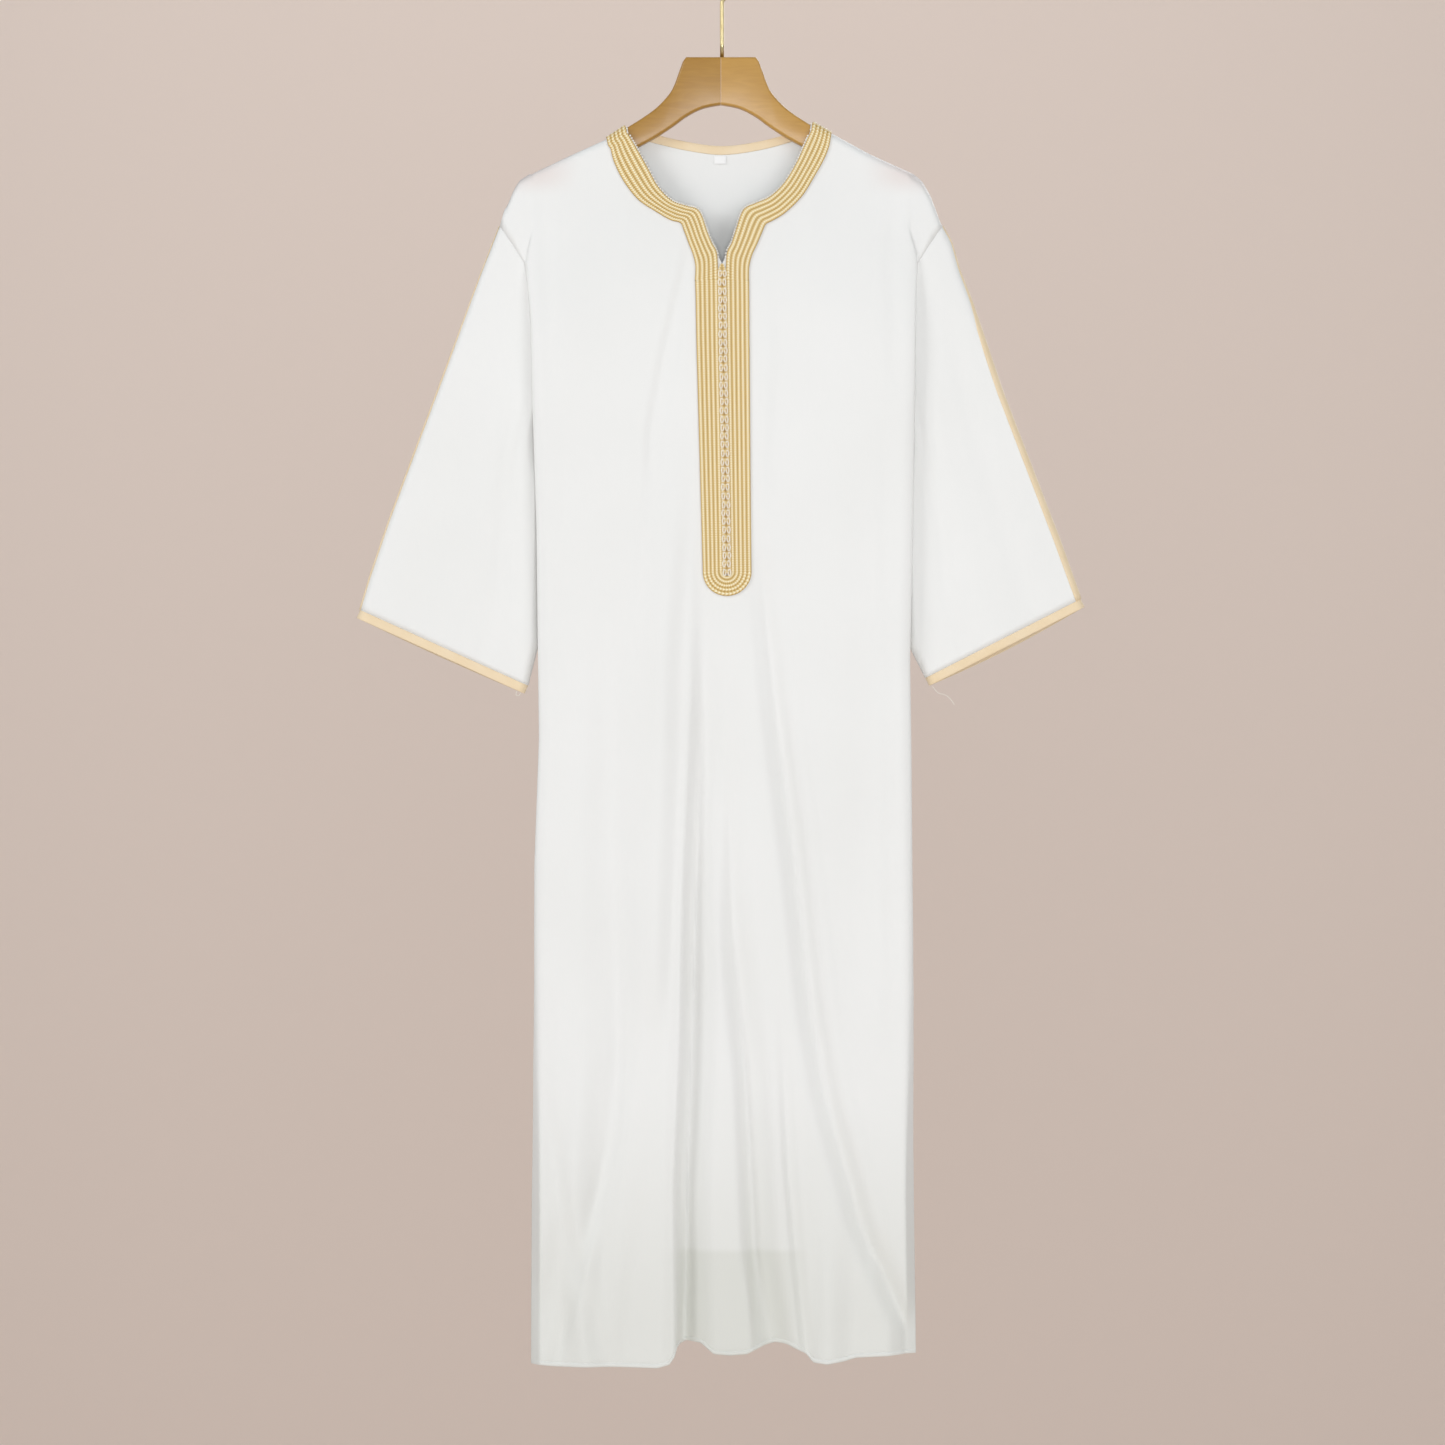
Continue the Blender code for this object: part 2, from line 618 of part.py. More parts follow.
def make_hanger_half(side, name, finish):
    """Half of the hanger: its outline pushed out to its thickness, with rounded edges."""
    def place(x, z):
        return (HANGER_MID_X + side * (x + (HANGER_JOINT / 2 if x == 0 else 0)), z)

    outline = [place(x, z) for x, z in zip(HANGER_TOP.x, HANGER_TOP.z)]
    for x in ARM_TOP_X:
        shoulder = cloth_top(HANGER_MID_X + side * x) - HANGER_DROP
        outline.append(place(x, shoulder))
    outline.append(place(ARM_END_X, shoulder_z(side * ARM_END_X) - 7))
    outline += [place(x, z) for x, z in zip(HANGER_UNDER.x[::-1], HANGER_UNDER.z[::-1])]
    builder = bmesh.new()
    verts = [builder.verts.new((x, -HANGER_THICK / 2, z)) for x, z in outline]
    face = builder.faces.new(verts)
    pushed = bmesh.ops.extrude_face_region(builder, geom=[face])
    moved = [g for g in pushed["geom"] if isinstance(g, bmesh.types.BMVert)]
    bmesh.ops.translate(builder, vec=(0, HANGER_THICK, 0), verts=moved)
    bmesh.ops.recalc_face_normals(builder, faces=builder.faces)
    joint_x = HANGER_MID_X + side * HANGER_JOINT / 2
    rims = []
    for edge in builder.edges:
        a, b = edge.verts
        flat = abs(a.co.y - b.co.y) < 0.01
        at_joint = abs(a.co.x - joint_x) < 0.01 and abs(b.co.x - joint_x) < 0.01
        if flat and not at_joint:
            rims.append(edge)
    bmesh.ops.bevel(builder, geom=rims, offset=HANGER_EDGE, segments=3, profile=0.5, affect="EDGES",
                    material=-1, clamp_overlap=True)
    piece = add_object(name, builder, finish)
    piece.data.set_sharp_from_angle(angle=math.radians(40))
    return piece


def make_tube(name, path, radius, sides, finish):
    """A round bar along a flat path in the plane y = 0, with closed ends."""
    rings = []
    for k, point in enumerate(path):
        ahead = path[min(k + 1, len(path) - 1)] - path[max(k - 1, 0)]
        along = ahead.normalized()
        across = Vector((0, 1, 0))
        other = along.cross(across)
        ring = []
        for n in range(sides):
            angle = 2 * math.pi * n / sides
            ring.append(point + (across * math.cos(angle) + other * math.sin(angle)) * radius)
        rings.append(ring)
    builder = bmesh.new()
    verts = grid_faces(builder, rings, closed=True)
    builder.faces.new(verts[0])
    builder.faces.new(reversed(verts[-1]))
    return add_object(name, builder, finish)


def make_hook(finish):
    centre = Vector((0, 0, HOOK_WIRE / 2 - CROOK_RADIUS))
    path = [Vector((0, 0, HANGER_TOP_Z + SEAM_GAP)), Vector((0, 0, -75)), Vector((0, 0, -45))]
    path += [Vector((1.2, 0, -41.6)), Vector((4.6, 0, -39.2))]
    for degrees in range(-60, 211, 15):
        angle = math.radians(degrees)
        path.append(centre + Vector((math.cos(angle), 0, math.sin(angle))) * CROOK_RADIUS)
    return make_tube("hook", path, HOOK_WIRE / 2, 10, finish)


def make_label(finish):
    x, z = LABEL_PLACE
    y = back_y(x, z) - WALL / 2 - SEAM_GAP - 0.3 - LABEL_SIZE[1] / 2
    builder = bmesh.new()
    bmesh.ops.create_cube(builder, size=1.0)
    bmesh.ops.scale(builder, vec=LABEL_SIZE, verts=builder.verts)
    bmesh.ops.translate(builder, vec=(x, y, z), verts=builder.verts)
    return add_object("size_label", builder, finish)


def main():
    for old in list(bpy.data.objects):
        bpy.data.objects.remove(old, do_unlink=True)

    white = material("white_crepe", (0.86, 0.86, 0.85), 0.6)
    cream = material("cream_binding", (0.85, 0.70, 0.48), 0.7)
    gold = material("gold_braid", (0.70, 0.50, 0.20), 0.5)
    wood = material("pale_wood", (0.60, 0.37, 0.12), 0.45)
    brass = material("pale_brass", (0.70, 0.58, 0.35), 0.3, 1.0)

    front = panel_grid(NECKLINE, front_y, -1, 0.0)
    back = panel_grid(BACK_NECK, back_y, 1, BACK_INSET)
    cloth("front", front, WALL, white)
    cloth("back", back, WALL, white)

    for side, word in ((-1, "left"), (1, "right")):
        fore, rear = sleeve_grid(side, -1), sleeve_grid(side, 1)
        cloth(f"sleeve_{word}_front", fore, WALL, white)
        cloth(f"sleeve_{word}_back", rear, WALL, white)
        make_cuff(side, f"cuff_{word}", fore, rear, cream)
        shown, turned = (1, 2) if side < 0 else (2, 1)
        make_tape(f"sleeve_tape_{word}", fore, rear, shown, turned, cream)
        make_hanger_half(side, f"hanger_{word}", wood)

    surface = FrontSurface(front)
    make_braid(surface, gold)
    make_button_strip(surface, cream)
    make_buttons(surface, gold)
    make_back_binding(cream)
    make_label(white)
    make_hook(brass)


main()
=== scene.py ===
# %% [markdown]
# # A thobe robe on a wooden hanger
# The robe is thin crepe cloth, cut flat and sewn, that hangs from a hanger. The model is built piece by
# piece as a maker would sew it, and each piece lies where the loaded frame has its solid.

# %% Load the frame
import math
from collections import namedtuple

import bmesh
import bpy
import numpy as np
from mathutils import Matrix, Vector


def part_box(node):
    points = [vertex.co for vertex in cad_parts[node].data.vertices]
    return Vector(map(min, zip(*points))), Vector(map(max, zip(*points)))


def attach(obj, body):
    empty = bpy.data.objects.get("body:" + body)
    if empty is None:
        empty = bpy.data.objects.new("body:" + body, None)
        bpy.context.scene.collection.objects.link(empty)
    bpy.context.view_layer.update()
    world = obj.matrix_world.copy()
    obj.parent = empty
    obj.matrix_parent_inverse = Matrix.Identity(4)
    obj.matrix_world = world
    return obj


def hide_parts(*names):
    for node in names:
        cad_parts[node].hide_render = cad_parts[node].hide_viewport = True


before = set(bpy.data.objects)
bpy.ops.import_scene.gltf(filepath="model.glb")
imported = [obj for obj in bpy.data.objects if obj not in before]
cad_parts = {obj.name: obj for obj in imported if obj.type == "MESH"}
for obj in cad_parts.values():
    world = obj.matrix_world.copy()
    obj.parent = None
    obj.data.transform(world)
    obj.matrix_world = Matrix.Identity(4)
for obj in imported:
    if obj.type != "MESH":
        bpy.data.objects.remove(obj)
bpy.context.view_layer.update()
BODY = "root"
MM = 0.001
print("solids in the frame:", len(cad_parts))

# %% [markdown]
# ## The robe's own sizes
# A pattern cutter keeps a few outlines: the shoulder line, the neck, the side, the hem and the armhole.
# They are short tables here, in millimetres. z is 0 at the hook's crook and falls to the hem, and x is 0
# at the hook. The outlines could be curves drawn by hand, but a table can be read and checked, and every
# piece that meets an edge uses the same one.

# %% Outlines and sizes in millimetres
CLOTH = 0.8
EDGE_Y = 0.42
SIDE_SEAM_Y = 0.6
SHOULDER_ROUND = 9.0
CHEST_FALL = 16.0
BACK_FALL = 11.0
CHEST_RUN = 200.0
BACK_INSET = 1.5
EDGE_IN = 10.0
SIDE_REACH = 14.0
FOLD_FADE_Z = -800.0
SLIT_TOP_Z = -1367.0
HEM_EDGE_Y = 9.0
NECK_ENDS = (-106.4, 100.1)


def table(columns, *rows):
    """A short table with named columns, each column as an array."""
    return namedtuple("Table", columns)(*np.array(rows, float).T)


SHOULDER = table(
    "x z",
    (-237, -270), (-229, -250.6), (-223, -241.7), (-207, -231.9), (-168, -213.4), (-128.7, -195.6),
    (-105, -180), (100, -177), (123, -189.9), (162, -211.2), (209, -232.5), (220.4, -241.5),
    (229.5, -257.2), (240.7, -286.4),
)
NECKLINE = table(
    "x z",
    (-101.9, -193), (-94.1, -206.5), (-82.8, -226.6), (-70.4, -249.1), (-55, -264.8), (-39.1, -270.6),
    (-27.8, -273.9), (-22.2, -281.6), (-11, -312), (-0.2, -334.4), (5.8, -323.4), (14.9, -298.5),
    (21.6, -278.3), (27.2, -271.7), (37.4, -267.3), (52.8, -260.3), (68.8, -244.6), (82.2, -222.2),
    (92.4, -199.7),
)
BACK_NECK = table(
    "x z",
    (-98, -192), (-79, -197), (-40, -206), (0, -210.9), (40, -206), (77, -196.5), (92, -190),
)
NECK_ROLL = table("inward drop", (0, 0), (0.5, 1.2), (1, 3.7), (1.5, 9.5))
BODY_SIDE = table(
    "z left right",
    (-1532, -210, 213.4), (-1365, -209.6, 211.3), (-1140, -206.5, 210.5), (-1000, -206, 209),
    (-860, -201, 207.8), (-770, -202, 206.5), (-625, -203.7, 209.6), (-484, -208.3, 211.6),
    (-390, -210, 212.5), (-300, -217, 215.2), (-240, -217, 215.6),
)
HEM = table(
    "x z",
    (-209.4, -1530), (-204.7, -1544), (-181, -1546.3), (-118, -1546.3), (-70.5, -1548), (-58, -1544),
    (-51.7, -1534.5), (-49, -1523.5), (-38.9, -1519.5), (-23, -1521), (-9, -1532.5), (8.4, -1534),
    (27.3, -1532.5), (46.2, -1523.7), (58.9, -1520.5), (71.5, -1522), (84.2, -1528), (93.5, -1533),
    (100, -1541.6), (115.7, -1543.3), (134.6, -1540), (147.3, -1536.3), (182, -1534.7), (213.4, -1532),
)
ARMHOLE = table(
    "x z depth",
    (243, -291.5, 0.4), (236, -302, 8), (229, -312, 9.2), (215.6, -333, 10), (208, -352, 9.5),
    (201, -378, 9), (198, -412, 9), (197, -448, 8.5), (197, -478, 5.5), (197, -502, 0.6),
)
OVER_ARM = {
    1: table(
        "x z",
        (243.4, -291.8), (253, -308.8), (262, -340.3), (275.5, -374), (287, -407.6), (309, -472.7),
        (372.5, -638), (395.5, -702.5),
    ),
    -1: table(
        "x z",
        (-245, -291.8), (-255, -317.4), (-265, -342.9), (-289, -407.6), (-310, -464), (-367, -616),
        (-388, -677.6), (-399, -714.5),
    ),
}
UNDER_ARM = {
    1: table("x z", (204, -503), (204, -640), (207, -755), (224.4, -789.5)),
    -1: table("x z", (-205, -503), (-203, -640), (-203, -755), (-214, -798)),
}
CUFF_BACK_DROP = {1: 4.0, -1: 1.5}
SIDE_FOLDED = table("x step", (-10, 0), (-3, 0.08), (0, 0.20), (-1.5, 0.33), (-5, 0.43), (-SIDE_REACH, 1))
SIDE_FLAT = table("x step", (-10, 0), (-8, 0.15), (-6, 0.35), (-4, 0.55), (-2, 0.78), (0, 1))
print("robe length from neck to hem:", round(SHOULDER.z.max() - HEM.z.min()), "mm")

# %% [markdown]
# ## Folds and creases
# Thin cloth falls in long soft folds from where it is held: here from the end of the stiff placket. Each
# fold is a row: the points down its valley, its width to either side, its depth and the heights where it
# starts and is full. Simulated cloth would give other folds than these, so they are listed one by one.

# %% Fold tables
Fold = namedtuple("Fold", "path left right depth start full")
FRONT_FOLDS = (
    Fold(((39, -640), (58, -829), (79, -992), (96, -1150), (113, -1252), (152, -1395), (201, -1504)),
         20, 30, 8, -560, -950),
    Fold(((-21, -560), (-24, -800), (-33, -1034), (-36, -1209), (-43, -1350), (-40, -1540)),
         13, 34, 19, -560, -1250),
    Fold(((4, -800), (11, -1069), (29, -1230), (38, -1420), (58, -1540)), 20, 28, 15, -760, -1420),
    Fold(((-52, -560), (-66, -765), (-69, -905), (-75, -1100)), 34, 24, -5, -480, -760),
    Fold(((-119, -700), (-122, -960), (-116, -1209), (-140, -1350), (-185, -1470)), 40, 30, 5, -640, -950),
    Fold(((-150, -1200), (-160, -1380), (-150, -1540)), 26, 30, -7, -1180, -1400),
    Fold(((118, -1300), (116, -1420), (116, -1540)), 20, 30, -6, -1330, -1500),
)
# Smaller creases that only the cloth itself shows: a narrow side is a fold's sharp edge, a negative
# depth a ridge
FRONT_CREASES = (
    Fold(((40, -640), (59, -829), (80, -992), (97, -1150), (114, -1252), (153, -1395), (202, -1504)),
         6, 15, 4.2, -600, -900),
    Fold(((52, -640), (73, -829), (95, -992), (112, -1150), (130, -1252), (170, -1395)),
         13, 20, -2.4, -620, -900),
    Fold(((-18, -640), (-24, -900), (-31, -1100), (-37, -1300), (-41, -1450), (-46, -1540)),
         4, 17, 6.5, -640, -1150),
    Fold(((-27, -640), (-34, -900), (-42, -1100), (-48, -1300), (-52, -1540)), 16, 7, -3.4, -640, -1150),
    Fold(((4, -860), (12, -1069), (24, -1230), (33, -1420), (38, -1540)), 6, 15, 4.0, -860, -1200),
    Fold(((62, -1120), (72, -1330), (80, -1420), (92, -1540)), 6, 14, 4.4, -1120, -1350),
    Fold(((-190, -1080), (-196, -1250), (-170, -1400), (-130, -1540)), 18, 15, 2.0, -1080, -1300),
    Fold(((-118, -900), (-113, -1209), (-118, -1287), (-142, -1380), (-180, -1540)),
         16, 9, 2.2, -900, -1250),
    Fold(((-90, -1250), (-112, -1400), (-128, -1540)), 20, 24, -2.0, -1250, -1450),
    Fold(((-33, -300), (-42, -345), (-62, -430), (-78, -520)), 10, 20, 2.4, -290, -350),
    Fold(((60, -330), (66, -420), (60, -540)), 16, 20, 1.2, -330, -420),
    Fold(((150, -480), (158, -800), (150, -1100)), 30, 30, 1.0, -480, -700),
    Fold(((176, -420), (183, -700), (188, -1150)), 16, 18, 0.8, -420, -640),
    Fold(((-160, -360), (-172, -600), (-168, -900)), 24, 26, 0.9, -360, -560),
    Fold(((-96, -470), (-104, -640), (-98, -800)), 24, 26, -0.8, -470, -600),
    Fold(((190, -245), (186, -330), (190, -420)), 14, 16, 1.1, -243, -300),
    Fold(((-196, -245), (-192, -330), (-188, -430)), 14, 16, 1.1, -243, -300),
)
BACK_FOLDS = (
    Fold(((-60, -420), (-72, -900), (-96, -1540)), 40, 34, 9, -420, -1100),
    Fold(((20, -420), (24, -900), (16, -1540)), 42, 44, -8, -520, -1200),
    Fold(((92, -420), (108, -900), (130, -1540)), 34, 40, 9, -420, -1100),
    Fold(((-150, -700), (-156, -1100), (-160, -1540)), 26, 26, -6, -760, -1300),
    Fold(((-60, -600), (-71, -900), (-94, -1540)), 10, 13, 2.4, -560, -900),
    Fold(((94, -640), (107, -900), (128, -1540)), 12, 9, 2.2, -620, -980),
    Fold(((-120, -260), (-100, -330), (-84, -420)), 14, 18, 1.5, -255, -320),
    Fold(((120, -255), (98, -340), (90, -430)), 14, 18, 1.5, -250, -320),
    Fold(((165, -700), (172, -1150), (160, -1540)), 18, 20, 2.6, -700, -1000),
    Fold(((-22, -900), (-34, -1250), (-30, -1540)), 16, 14, 2.8, -900, -1200),
    Fold(((-196, -700), (-188, -1100), (-192, -1400)), 12, 14, 1.8, -650, -900),
)
# Soft drags on the sleeves, from the shoulder's end towards the cuff: across is 0 at the over-arm seam
# and 1 at the underarm seam, first at the armhole and then at the cuff.
Drag = namedtuple("Drag", "at_top at_cuff width depth")
SLEEVE_DRAGS = (
    Drag(0.16, 0.30, 0.12, 1.0), Drag(0.42, 0.52, 0.12, -0.7), Drag(0.62, 0.72, 0.10, 0.9),
    Drag(0.30, 0.88, 0.09, 0.5),
)
print("folds on the front:", len(FRONT_FOLDS) + len(FRONT_CREASES), "and on the back:", len(BACK_FOLDS))

# %% [markdown]
# ## Where the cloth lies
# A panel of hanging cloth has one depth at each place across and down, so a function of x and z gives
# it. Over the shoulder it turns round the hanger's arm as a quarter circle, and it falls away from the
# arm over the chest. The braid and the knots ask the same function, so they lie on the cloth wherever it
# goes.


# %% Surface functions
def smooth(t):
    t = min(max(t, 0.0), 1.0)
    return t * t * (3 - 2 * t)


def mix(a, b, t):
    return a + (b - a) * t


def quarter(t):
    """A quarter circle: 0 at 0, 1 from 1 on, upright at its start."""
    t = min(max(t, 0.0), 1.0)
    return math.sqrt(1 - (1 - t) ** 2)


def through(values, t):
    """A smooth curve through evenly spaced values, t from 0 to 1."""
    last = len(values) - 1
    place = min(max(t, 0.0), 1.0) * last
    k = min(int(place), last - 1)
    f = place - k
    a, b = values[max(k - 1, 0)], values[k]
    c, d = values[k + 1], values[min(k + 2, last)]
    rise = 2 * b + (c - a) * f + (2 * a - 5 * b + 4 * c - d) * f * f + (3 * b - a - 3 * c + d) * f ** 3
    return 0.5 * rise


def prepared(folds):
    return [(np.array(f.path, float)[::-1], f) for f in folds]


FRONT_ALL = prepared(FRONT_FOLDS + FRONT_CREASES)
BACK_ALL = prepared(BACK_FOLDS)


def fold_depth(folds, x, z):
    total = 0.0
    for path, fold in folds:
        if z > fold.start:
            continue
        across = x - float(np.interp(z, path[:, 1], path[:, 0]))
        width = fold.left if across < 0 else fold.right
        if abs(across) >= width:
            continue
        fade = 1.0
        if path[0, 1] > -1500:
            fade = smooth((z - path[0, 1] + 90) / 90)
        shape = 0.5 + 0.5 * math.cos(math.pi * across / width)
        total += fold.depth * shape * fade * smooth((fold.start - z) / (fold.start - fold.full))
    return total


def cloth_top(x):
    return float(np.interp(x, SHOULDER.x, SHOULDER.z)) - 0.6


def hanging_depth(x, z, fall):
    drop = max(cloth_top(x) - z, 0.0)
    depth = EDGE_Y + SHOULDER_ROUND * quarter(drop / SHOULDER_ROUND)
    return depth + fall * smooth((drop - SHOULDER_ROUND) / CHEST_RUN)


def front_y(x, z):
    return fold_depth(FRONT_ALL, x, z) - hanging_depth(x, z, CHEST_FALL)


def back_y(x, z):
    return hanging_depth(x, z, BACK_FALL) - fold_depth(BACK_ALL, x, z)


ARMHOLE_SHIFT = {1: 0.0, -1: -2.0}
ARM_STEPS = np.hypot(np.diff(ARMHOLE.x), np.diff(ARMHOLE.z))
ARM_ALONG = np.concatenate([[0.0], np.cumsum(ARM_STEPS)]) / ARM_STEPS.sum()


def armhole_point(t, side, facing):
    """A point of the armhole seam: side is 1 on the viewer's right, facing is -1 in front."""
    x = float(np.interp(t, ARM_ALONG, ARMHOLE.x))
    z = float(np.interp(t, ARM_ALONG, ARMHOLE.z))
    depth = float(np.interp(t, ARM_ALONG, ARMHOLE.depth))
    if t < ARM_ALONG[1]:
        depth = mix(ARMHOLE.depth[0], ARMHOLE.depth[1], quarter(t / ARM_ALONG[1]))
    return Vector((side * x + ARMHOLE_SHIFT[side], facing * depth, z))


def body_edge(z, side):
    return float(np.interp(z, BODY_SIDE.z, BODY_SIDE.right if side > 0 else BODY_SIDE.left))


print("depth of the front at the chest:", round(front_y(100, -450), 1), "mm")

# %% [markdown]
# ## From functions to sheets
# Each panel starts as a flat grid, and every point is moved to its place on the panel. The grid is close
# enough for the narrowest crease. A Solidify modifier then gives the sheet the thickness of crepe with
# its turned edges.


def finish_piece(name, builder, material, wall=0.0):
    """One named piece, made in millimetres and kept in metres, that hangs with the robe."""
    bmesh.ops.scale(builder, vec=(MM, MM, MM), verts=builder.verts)
    mesh = bpy.data.meshes.new(name)
    builder.to_mesh(mesh)
    builder.free()
    mesh.shade_smooth()
    mesh.materials.append(material)
    piece = bpy.data.objects.new(name, mesh)
    bpy.context.scene.collection.objects.link(piece)
    if wall:
        thickness = piece.modifiers.new("wall", "SOLIDIFY")
        thickness.thickness = wall * MM
        thickness.offset = 0.0
        print(name, "has", round(sum(face.area for face in mesh.polygons), 4), "square metres")
    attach(piece, BODY)
    return piece


def sheet_builder(rows, uv=None):
    """A bmesh grid whose points are moved onto rows of places."""
    tall, wide = len(rows), len(rows[0])
    builder = bmesh.new()
    made = bmesh.ops.create_grid(builder, x_segments=wide - 1, y_segments=tall - 1, size=1.0)
    verts = sorted(made["verts"], key=lambda v: (-round(v.co.y, 5), round(v.co.x, 5)))
    for number, v in enumerate(verts):
        v.co = rows[number // wide][number % wide]
    if uv:
        layer = builder.loops.layers.uv.new("along_across")
        places = {v: uv[number // wide][number % wide] for number, v in enumerate(verts)}
        for face in builder.faces:
            for loop in face.loops:
                loop[layer].uv = places[loop.vert]
    return builder


def spread(stops, step):
    """Values between the stops, no further apart than step."""
    values = [stops[0]]
    for a, b in zip(stops, stops[1:]):
        count = max(1, math.ceil(abs(b - a) / step))
        values += [a + (b - a) * k / count for k in range(1, count + 1)]
    return values


# %% Panel grid
SIDE_COLUMNS = 14
SHOULDER_END = 0.25
ARM_END_X = 208.0
HEM_ROWS = (12, 7, 5, 4.2, 3.4, 2.6, 1.4, 0.4, 0)
HEM_RELIEF = table(
    "above out",
    (0, 0.3), (0.4, 0.7), (1.4, 1.0), (2.6, 0.9), (3.4, 0.3), (4.2, -0.35), (5, -0.1), (7, 0),
)
PANEL_TOP_ENDS = (-210, 208.6)
EVEN_FROM_Z = -720
EVEN_RUN = 350


def shoulder_rise(x, side):
    """How far the shoulder's rounded end stands over a straight line from its arm to the armhole."""
    start, end = side * ARM_END_X, armhole_point(0, side, 1)
    share = min(max((x - start) / (end.x - start), 0.0), 1.0)
    return (cloth_top(x) - mix(cloth_top(start), end.z, share)) * (1 - smooth((share - 0.8) / 0.2))


def side_points(start, end, edge_x, side, rise):
    fold = min(max((abs(edge_x) - abs(end.x)) / SIDE_REACH, 0.0), 1.0)
    places = mix(SIDE_FLAT.x, SIDE_FOLDED.x, fold)
    places = places - places.max()
    steps = mix(SIDE_FLAT.step, SIDE_FOLDED.step, fold)
    open_arm = smooth((abs(end.x) - abs(edge_x)) / 4)
    points = []
    for k in range(1, SIDE_COLUMNS):
        t = k / SIDE_COLUMNS
        depth = mix(start.y, end.y, through(steps, t))
        folded = Vector((edge_x + side * through(places, t), depth, mix(start.z, end.z, t)))
        flat = start.lerp(end, t)
        flat.z += rise * shoulder_rise(flat.x, side)
        points.append(folded.lerp(flat, open_arm))
    return points


def seam_point(z, side, facing):
    fold = 1 - smooth((FOLD_FADE_Z - z) / (FOLD_FADE_Z - SLIT_TOP_Z))
    y = mix(SIDE_SEAM_Y, HEM_EDGE_Y, smooth((SLIT_TOP_Z - z) / 150))
    return Vector((body_edge(z, side) - side * mix(0.0, SIDE_REACH, fold), facing * y, z))


def finer(line, count):
    """A table of x and z with smooth curves through its points."""
    shares = np.linspace(0, 1, count)
    columns = [np.array([through(column, t) for t in shares]) for column in (line.x, line.z)]
    return type(line)(*columns)


def rolled_neck(inner):
    low, high = NECK_ENDS
    x = np.concatenate([low + NECK_ROLL.inward, inner.x, high - NECK_ROLL.inward[::-1]])
    z = np.concatenate([cloth_top(low) - NECK_ROLL.drop, inner.z, cloth_top(high) - NECK_ROLL.drop[::-1]])
    return x, z


def panel_rows_of_points(neck, surface, facing, inset, step):
    """Rows of points from the shoulder and neck down to the hem, each from side seam to side seam."""
    neck_x, neck_z = rolled_neck(neck)
    tops = spread([PANEL_TOP_ENDS[0], *neck_x, PANEL_TOP_ENDS[1]], step)
    top, low = cloth_top(210), float(HEM.z[0])
    under = float(ARMHOLE.z[-1])
    arm_rows = [0, 0.003, 0.007, 0.012, 0.018, 0.026, 0.04] + spread([0.055, 1.0], step * 0.0065)
    shares = [t * (top - under) / (top - low) for t in arm_rows]
    seam = spread([under, SLIT_TOP_Z], step * 2.6)[1:] + spread([SLIT_TOP_Z, low + 20], step * 2.2)[1:]
    shares += [(top - z) / (top - low) for z in seam]
    ends_below = [*arm_rows, *seam]
    rows = []
    for number in range(len(shares) + len(HEM_ROWS)):
        above_hem = HEM_ROWS[number - len(shares)] if number >= len(shares) else None
        row = []
        for k, top_x in enumerate(tops):
            over_neck = neck_x[0] <= top_x <= neck_x[-1]
            start_z = float(np.interp(top_x, neck_x, neck_z)) if over_neck else cloth_top(top_x)
            share = shares[number] if above_hem is None else 1.0
            z = mix(start_z, float(np.interp(top_x, HEM.x, HEM.z)), share)
            left, right = body_edge(z, -1) + EDGE_IN + inset, body_edge(z, 1) - EDGE_IN - inset
            along = (top_x - tops[0]) / (tops[-1] - tops[0])
            even = mix(along, k / (len(tops) - 1), smooth((EVEN_FROM_Z - z) / EVEN_RUN))
            x = top_x if share == 0 else mix(left, right, even)
            hem_z = float(np.interp(x, HEM.x, HEM.z))
            z = mix(start_z, hem_z, share) if above_hem is None else hem_z + above_hem
            y = surface(x, z)
            if above_hem is not None:
                y += facing * float(np.interp(above_hem, HEM_RELIEF.above, HEM_RELIEF.out))
            row.append(Vector((x, y, z)))
        sides = []
        for side, start in ((-1, row[0]), (1, row[-1])):
            rise = 0.0
            if number < len(arm_rows):
                end = armhole_point(arm_rows[number], side, facing)
                rise = 1 - smooth(arm_rows[number] / SHOULDER_END)
            elif above_hem is None:
                end = seam_point(ends_below[number], side, facing)
            else:
                end = seam_point(start.z, side, facing)
            edge_x = body_edge(start.z, side) - side * inset
            sides.append([*side_points(start, end, edge_x, side, rise), end])
        rows.append([*reversed(sides[0]), *row, *sides[1]])
    return rows


# %% [markdown]
# ## Materials
# One function turns the colours of a chart into linear light, and one adds a shader node with its
# settings and links. A pattern's scale is one over its size in metres. Each finish below is named for
# the real one.


# %% Material helpers
MIX = ("ShaderNodeMix", {"data_type": "RGBA"})
RAMP = ("ShaderNodeMapRange", {"interpolation_type": "SMOOTHSTEP"})


def hex_colour(code):
    parts = [int(code[i:i + 2], 16) / 255 for i in (1, 3, 5)]
    linear = [c / 12.92 if c <= 0.04045 else ((c + 0.055) / 1.055) ** 2.4 for c in parts]
    return (*linear, 1.0)


def add_node(tree, kind, settings=None, values=None, links=None):
    node = tree.nodes.new(kind)
    for name, value in (settings or {}).items():
        setattr(node, name, value)
    for name, value in (values or {}).items():
        node.inputs[name].default_value = value
    for name, source in (links or {}).items():
        tree.links.new(source, node.inputs[name])
    return node


def two_tones(first, second):
    """The two colours of a mix node, which are its sockets 6 and 7."""
    return {6: hex_colour(first), 7: hex_colour(second)}


def between(start, full):
    """A ramp that leaves 0 at start and reaches its top at full."""
    return {"From Min": start, "From Max": full}


